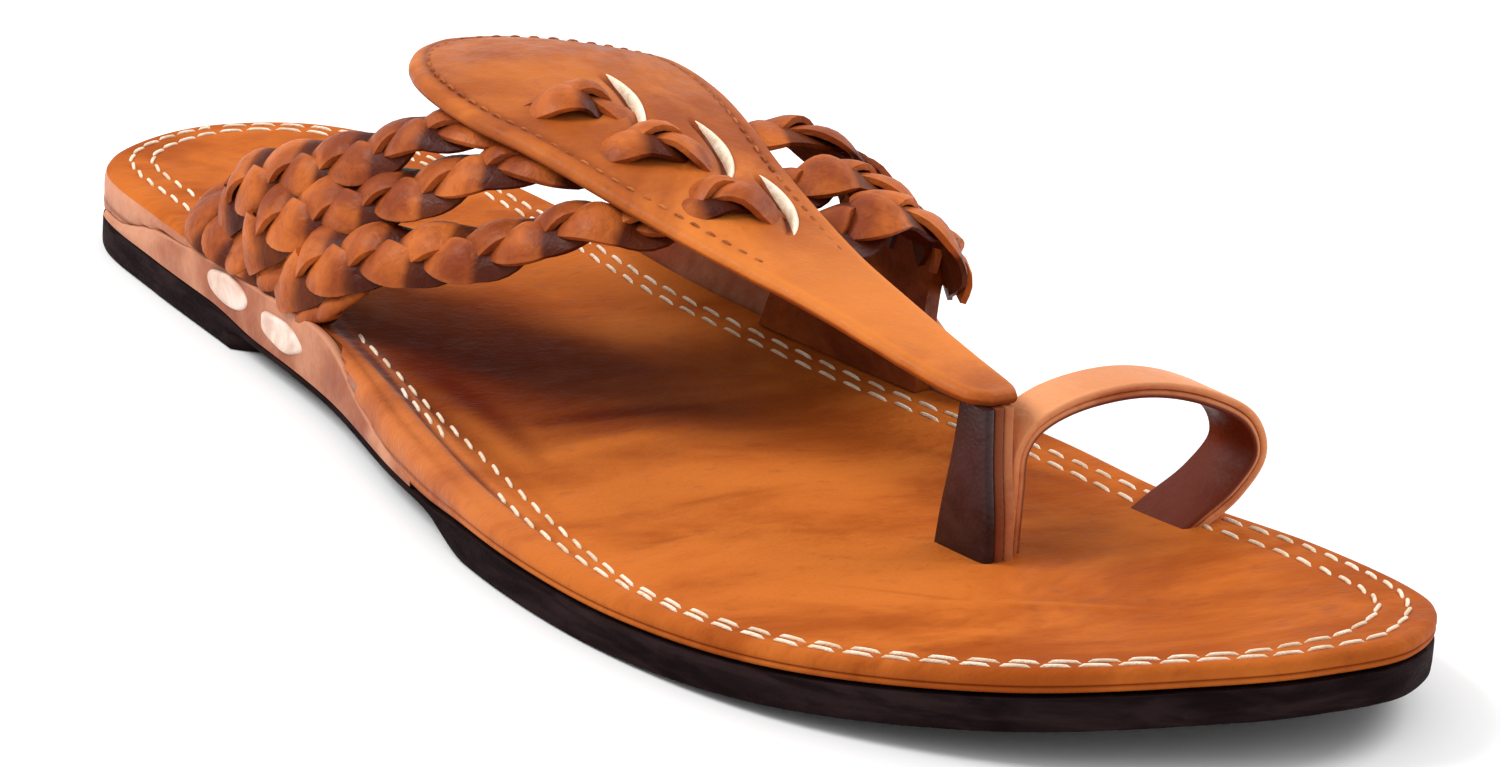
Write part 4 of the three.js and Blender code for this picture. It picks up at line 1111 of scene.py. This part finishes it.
def leaf(x, inset, over, length, width, heading, lean, chance):
    """One folded end as a closed pillow: rings along it, and the tone of each point."""
    point, out = outline_at(float(edge_place("little", x / SOLE_LENGTH)))
    place = point - out * inset
    centre = np.array([*place, float(insole_top(place[0])) + over])
    tilt, turn = math.radians(-lean), math.radians(heading + chance.uniform(-8, 8))
    face = np.array([*(out * math.sin(tilt)), math.cos(tilt)])
    forward = np.array([-out[1], out[0], 0.0])
    upward = unit(np.cross(face, forward))
    upward = -upward if upward[2] < 0 else upward
    long_way = forward * math.cos(turn) + upward * math.sin(turn)
    cross_way = np.cross(face, long_way)
    angle = np.arange(LEAF_SIDES) * 2 * math.pi / LEAF_SIDES
    bend, skew = chance.uniform(0.5, 1.4), chance.uniform(-0.5, 0.5)
    rings, tones = [], []
    for s in np.sin(np.linspace(-math.pi / 2, math.pi / 2, LEAF_RINGS)):
        half = width / 2 * (max(0.0, 1 - abs(s) ** 2.2) ** 0.62) * (1 - 0.28 * s) + 0.12
        thick = LEAF_THICKNESS / 2 * (max(0.0, 1 - s ** 4) ** 0.5) + 0.1
        w = np.cos(angle) * half
        fold = 0.5 * thick * bell(w, 0.22 * width) * (np.sin(angle) > 0)
        h = np.sign(np.sin(angle)) * np.abs(np.sin(angle)) ** 0.8 * thick - fold - bend * s * s
        rings.append(centre + long_way * (s * length / 2) + cross_way * (w + skew * s * s)[:, None]
                     + face * h[:, None])
        # painted highlight on the pillow's sides, painted shade at its tucked-in tips and in its fold
        edge = np.abs(np.cos(angle)) ** 6
        tones.append(np.clip(0.48 + 0.16 * edge - 0.3 * abs(s) ** 5 - 0.16 * (fold > 0.25 * thick), 0, 1))
    return rings, tones


def folded_ends():
    chance = random.Random(12)
    parts = [leaf(*row, chance) for row in LEAVES]
    loft("folded_ends", parts, PLAIT_LEATHER, "strap_leather", "braided_straps")


folded_ends()
print("folded ends:", len(LEAVES))

# %% [markdown]
# On the big-toe side the three plaits end in a short wall of leather that is glued behind the
# side panel's wing. Only its upper edge shows between the plaits.

# %% Gathering wall
WALL = [(0.006, 4.0, 0.442, 0.556), (0.163, 3.4, 0.448, 0.555), (0.378, 2.1, 0.462, 0.553),
        (0.470, 0.3, 0.473, 0.551), (0.600, -1.0, 0.480, 0.548)]
WALL_THICKNESS = 3.0


def gathering_wall():
    heights = np.linspace(WALL[0][0], WALL[-1][0], 24)
    rings = []
    for over, (inset, start, end) in zip(heights, read(WALL, heights)):
        place = edge_place("big", np.linspace(start, end, 24))
        half = WALL_THICKNESS / 2 * (0.55 if over > heights[21] else 1)
        faces = []
        for offset in (-half, half):
            at = inside_edge(place, inset + offset)
            faces.append(np.column_stack([at, insole_top(at[:, 0]) + over * INSTEP_HEIGHT]))
        rings.append(np.concatenate([faces[0], faces[1][::-1]]))
    # its dark, even tone is painted shade behind the panel's wing
    loft("gathering_wall", [(rings, 0.28)], PLAIT_LEATHER, "strap_leather", "braided_straps")


gathering_wall()
print("wall done")

# %% [markdown]
# The toe post is a stack of leather strips set on edge between the first two toes.
# The outer strip is burnished nearly black and shines. The others show only as lines on the
# front edge. Each strip is its own slab with rounded edges, which gives true dark gaps.

# %% Toe post
POST = [(0.0, 0.745, 0.787), (0.3, 0.748, 0.785), (0.65, 0.753, 0.780), (1.0, 0.756, 0.777)]
POST_CORNER = 0.5


def slab_section(half_x, half_y, corner, steps):
    """An oblong with rounded corners, and which points are on its upper half."""
    angle = np.radians([90 * (turn + step) for turn in range(4) for step in steps])
    u, v = np.repeat([1, -1, -1, 1], len(steps)), np.repeat([1, 1, -1, -1], len(steps))
    x = u * (half_x - corner) + corner * np.cos(angle)
    return x, v * (half_y - corner) + corner * np.sin(angle), v > 0


def post_strip(name, near, far, material, slot, tone):
    foot = float(insole_top(POST[0][2] * SOLE_LENGTH)) - INSOLE_THICKNESS
    shares = np.linspace(0, 1, 28)
    corner = min(POST_CORNER, (far - near) / 2.2)
    rings = []
    for share, (rear, front) in zip(shares, read(POST, shares) * SOLE_LENGTH):
        x, y, _ = slab_section((front - rear) / 2, (far - near) / 2, corner, (0, 1 / 3, 2 / 3, 1))
        x, y = x + (front + rear) / 2, y + (far + near) / 2
        head = vamp_at(x, y) - VAMP_THICKNESS / 2 - 0.05
        rings.append(np.column_stack([x, y, mix(foot, head, share)]))
    loft(name, [(rings, tone)], material, slot, "toe_post")


post_strip("post_outer_strip", 0.0, 1.75, DARK_LEATHER, "dark_leather", 0.5)
post_strip("post_middle_strip", 1.85, 3.35, RING_LEATHER, "strap_leather", 0.14)
post_strip("post_inner_strip", 3.45, 5.0, RING_LEATHER, "strap_leather", 0.3)
print("post done")

# %% [markdown]
# The toe ring is a strap of two layers set on edge. It rises beside the post, arches over the big
# toe and goes down through the insole. Its outer layer is fair and its inner side dark.
# Two lofted bands with a hair's gap between them show the dark line that two glued layers have.

# %% Toe ring
RING_ALONG = 0.767
RING = [(0.065, 0.235, 0.60), (0.066, 0.350, 0.60), (0.084, 0.430, 0.62), (0.140, 0.500, 0.66),
        (0.262, 0.530, 0.72), (0.375, 0.470, 0.79), (0.455, 0.360, 0.86), (0.474, 0.235, 0.91),
        (0.435, 0.110, 0.97), (0.377, 0.020, 1.00)]
RING_CORNER = 0.38


def ring_path(count):
    x = RING_ALONG * SOLE_LENGTH
    foot = float(insole_top(x + RING_WIDTH)) - INSOLE_THICKNESS
    start = POST_THICKNESS + FIT + RING_THICKNESS / 2
    seat = float(insole_top(x))
    points = [(x, start, foot), (x, start, mix(foot, seat + RING[0][1] * INSTEP_HEIGHT, 0.5))]
    points += [(x, max(start, a * BALL_WIDTH), seat + o * INSTEP_HEIGHT) for a, o, _ in RING]
    last, before = np.array(points[-1]), np.array(points[-2])
    points.append(last + (last - before) * (last[2] - foot) / (before[2] - last[2]))
    widths = [RING[0][2]] * 2 + [row[2] for row in RING] + [RING[-1][2]]
    path, wide, _ = smooth_path(points, np.array(widths)[:, None] * RING_WIDTH, count)
    return path, wide[:, 0]


def ring_band(name, low, high, inside_tone, outside_tone, fade, trim):
    """One layer of the ring; fade is how much darker its inner side gets towards the far foot."""
    path, wide = ring_path(90)
    lengthwise = np.array([1.0, 0, 0])
    thick = unit(np.cross(unit(np.gradient(path, axis=0)), lengthwise))
    half_width = (wide / 2 - trim)[:, None]
    w, h, outer = slab_section(half_width, (high - low) / 2, RING_CORNER, (0.0, 0.3, 0.7, 1.0))
    h = (h + (high + low) / 2)[:, None]
    rings = path[:, None] + lengthwise * w[..., None] - thick[:, None] * h
    share = np.linspace(0, 1, len(path))[:, None]
    tone = np.maximum(0.02, np.where(outer, outside_tone, inside_tone - fade * share))
    loft(name, [(rings, tone)], RING_LEATHER, "strap_leather", "toe_ring")


ring_band("ring_outer_band", 0.06, 1.2, 0.5, 0.8, 0.0, 0.0)
ring_band("ring_inner_band", -1.2, -0.02, 0.16, 0.45, 0.25, 0.15)
print("ring done")

# %% [markdown]
# The camera stands in front of the little-toe side, a little above, as the photographer did.
# Its place, its roll and the lens were found by matching the outline of the sole. The floor is
# plain white and the light is large and soft, so that the leather's own colour is what shows.

# %% Camera, floor and light
AZIMUTH, ELEVATION, ROLL_ANGLE = 0.94569, 0.30210, 0.076336
DISTANCE = 1139.82
LOOK = np.array([-186.621, 252.943, -117.901])
FOCAL_PIXELS = 4844.30
PICTURE_WIDTH = 1500
SENSOR = 36.0
FLOOR_REACH = 6.0


def camera():
    ca, sa, ce, se = math.cos(AZIMUTH), math.sin(AZIMUTH), math.cos(ELEVATION), math.sin(ELEVATION)
    back = np.array([sa * ce, -ca * ce, se])
    right = np.array([ca, sa, 0.0])
    up = np.cross(back, right)
    across = right * math.cos(ROLL_ANGLE) + up * math.sin(ROLL_ANGLE)
    upward = up * math.cos(ROLL_ANGLE) - right * math.sin(ROLL_ANGLE)
    place = (LOOK + back * DISTANCE + SHIFT) / 1000
    data = bpy.data.cameras.new("camera")
    data.sensor_fit = "HORIZONTAL"
    data.sensor_width = SENSOR
    data.lens = SENSOR * FOCAL_PIXELS / PICTURE_WIDTH
    data.clip_start = 0.05
    data.clip_end = 20
    view = put("camera", data)
    rows = np.column_stack([across, upward, back, place]).tolist()
    view.matrix_world = Matrix(rows + [[0, 0, 0, 1]])
    bpy.context.scene.camera = view
    return place


def lamp(name, place, aim, size, power):
    data = bpy.data.lights.new(name, "AREA")
    data.shape = "DISK"
    data.size = size
    data.energy = power
    light = put(name, data)
    light.location = place
    light.rotation_euler = (Vector(aim) - Vector(place)).to_track_quat("-Z", "Y").to_euler()


def stage():
    mesh = bpy.data.meshes.new("floor")
    corners = [(-1, -1), (1, -1), (1, 1), (-1, 1)]
    mesh.from_pydata([(x * FLOOR_REACH, y * FLOOR_REACH, 0) for x, y in corners], [], [(0, 1, 2, 3)])
    white = bpy.data.materials.new("floor_white")
    white.use_nodes = True
    feed(white.node_tree, white.node_tree.nodes["Principled BSDF"],
         {"Base Color": (0.9, 0.9, 0.9, 1), "Roughness": 0.9})
    mesh.materials.append(white)
    put("floor", mesh)
    world = bpy.data.worlds.new("studio")
    world.use_nodes = True
    feed(world.node_tree, world.node_tree.nodes["Background"], {"Color": (1, 1, 1, 1), "Strength": 0.85})
    bpy.context.scene.world = world
    bpy.context.scene.view_settings.view_transform = "Standard"


print("camera at", camera().round(3))
stage()
lamp("key", (-0.35, -0.55, 0.75), (0, 0, 0), 0.5, 7.0)
lamp("back", (0.1, 0.7, 0.6), (0, 0, 0.03), 0.5, 4.0)
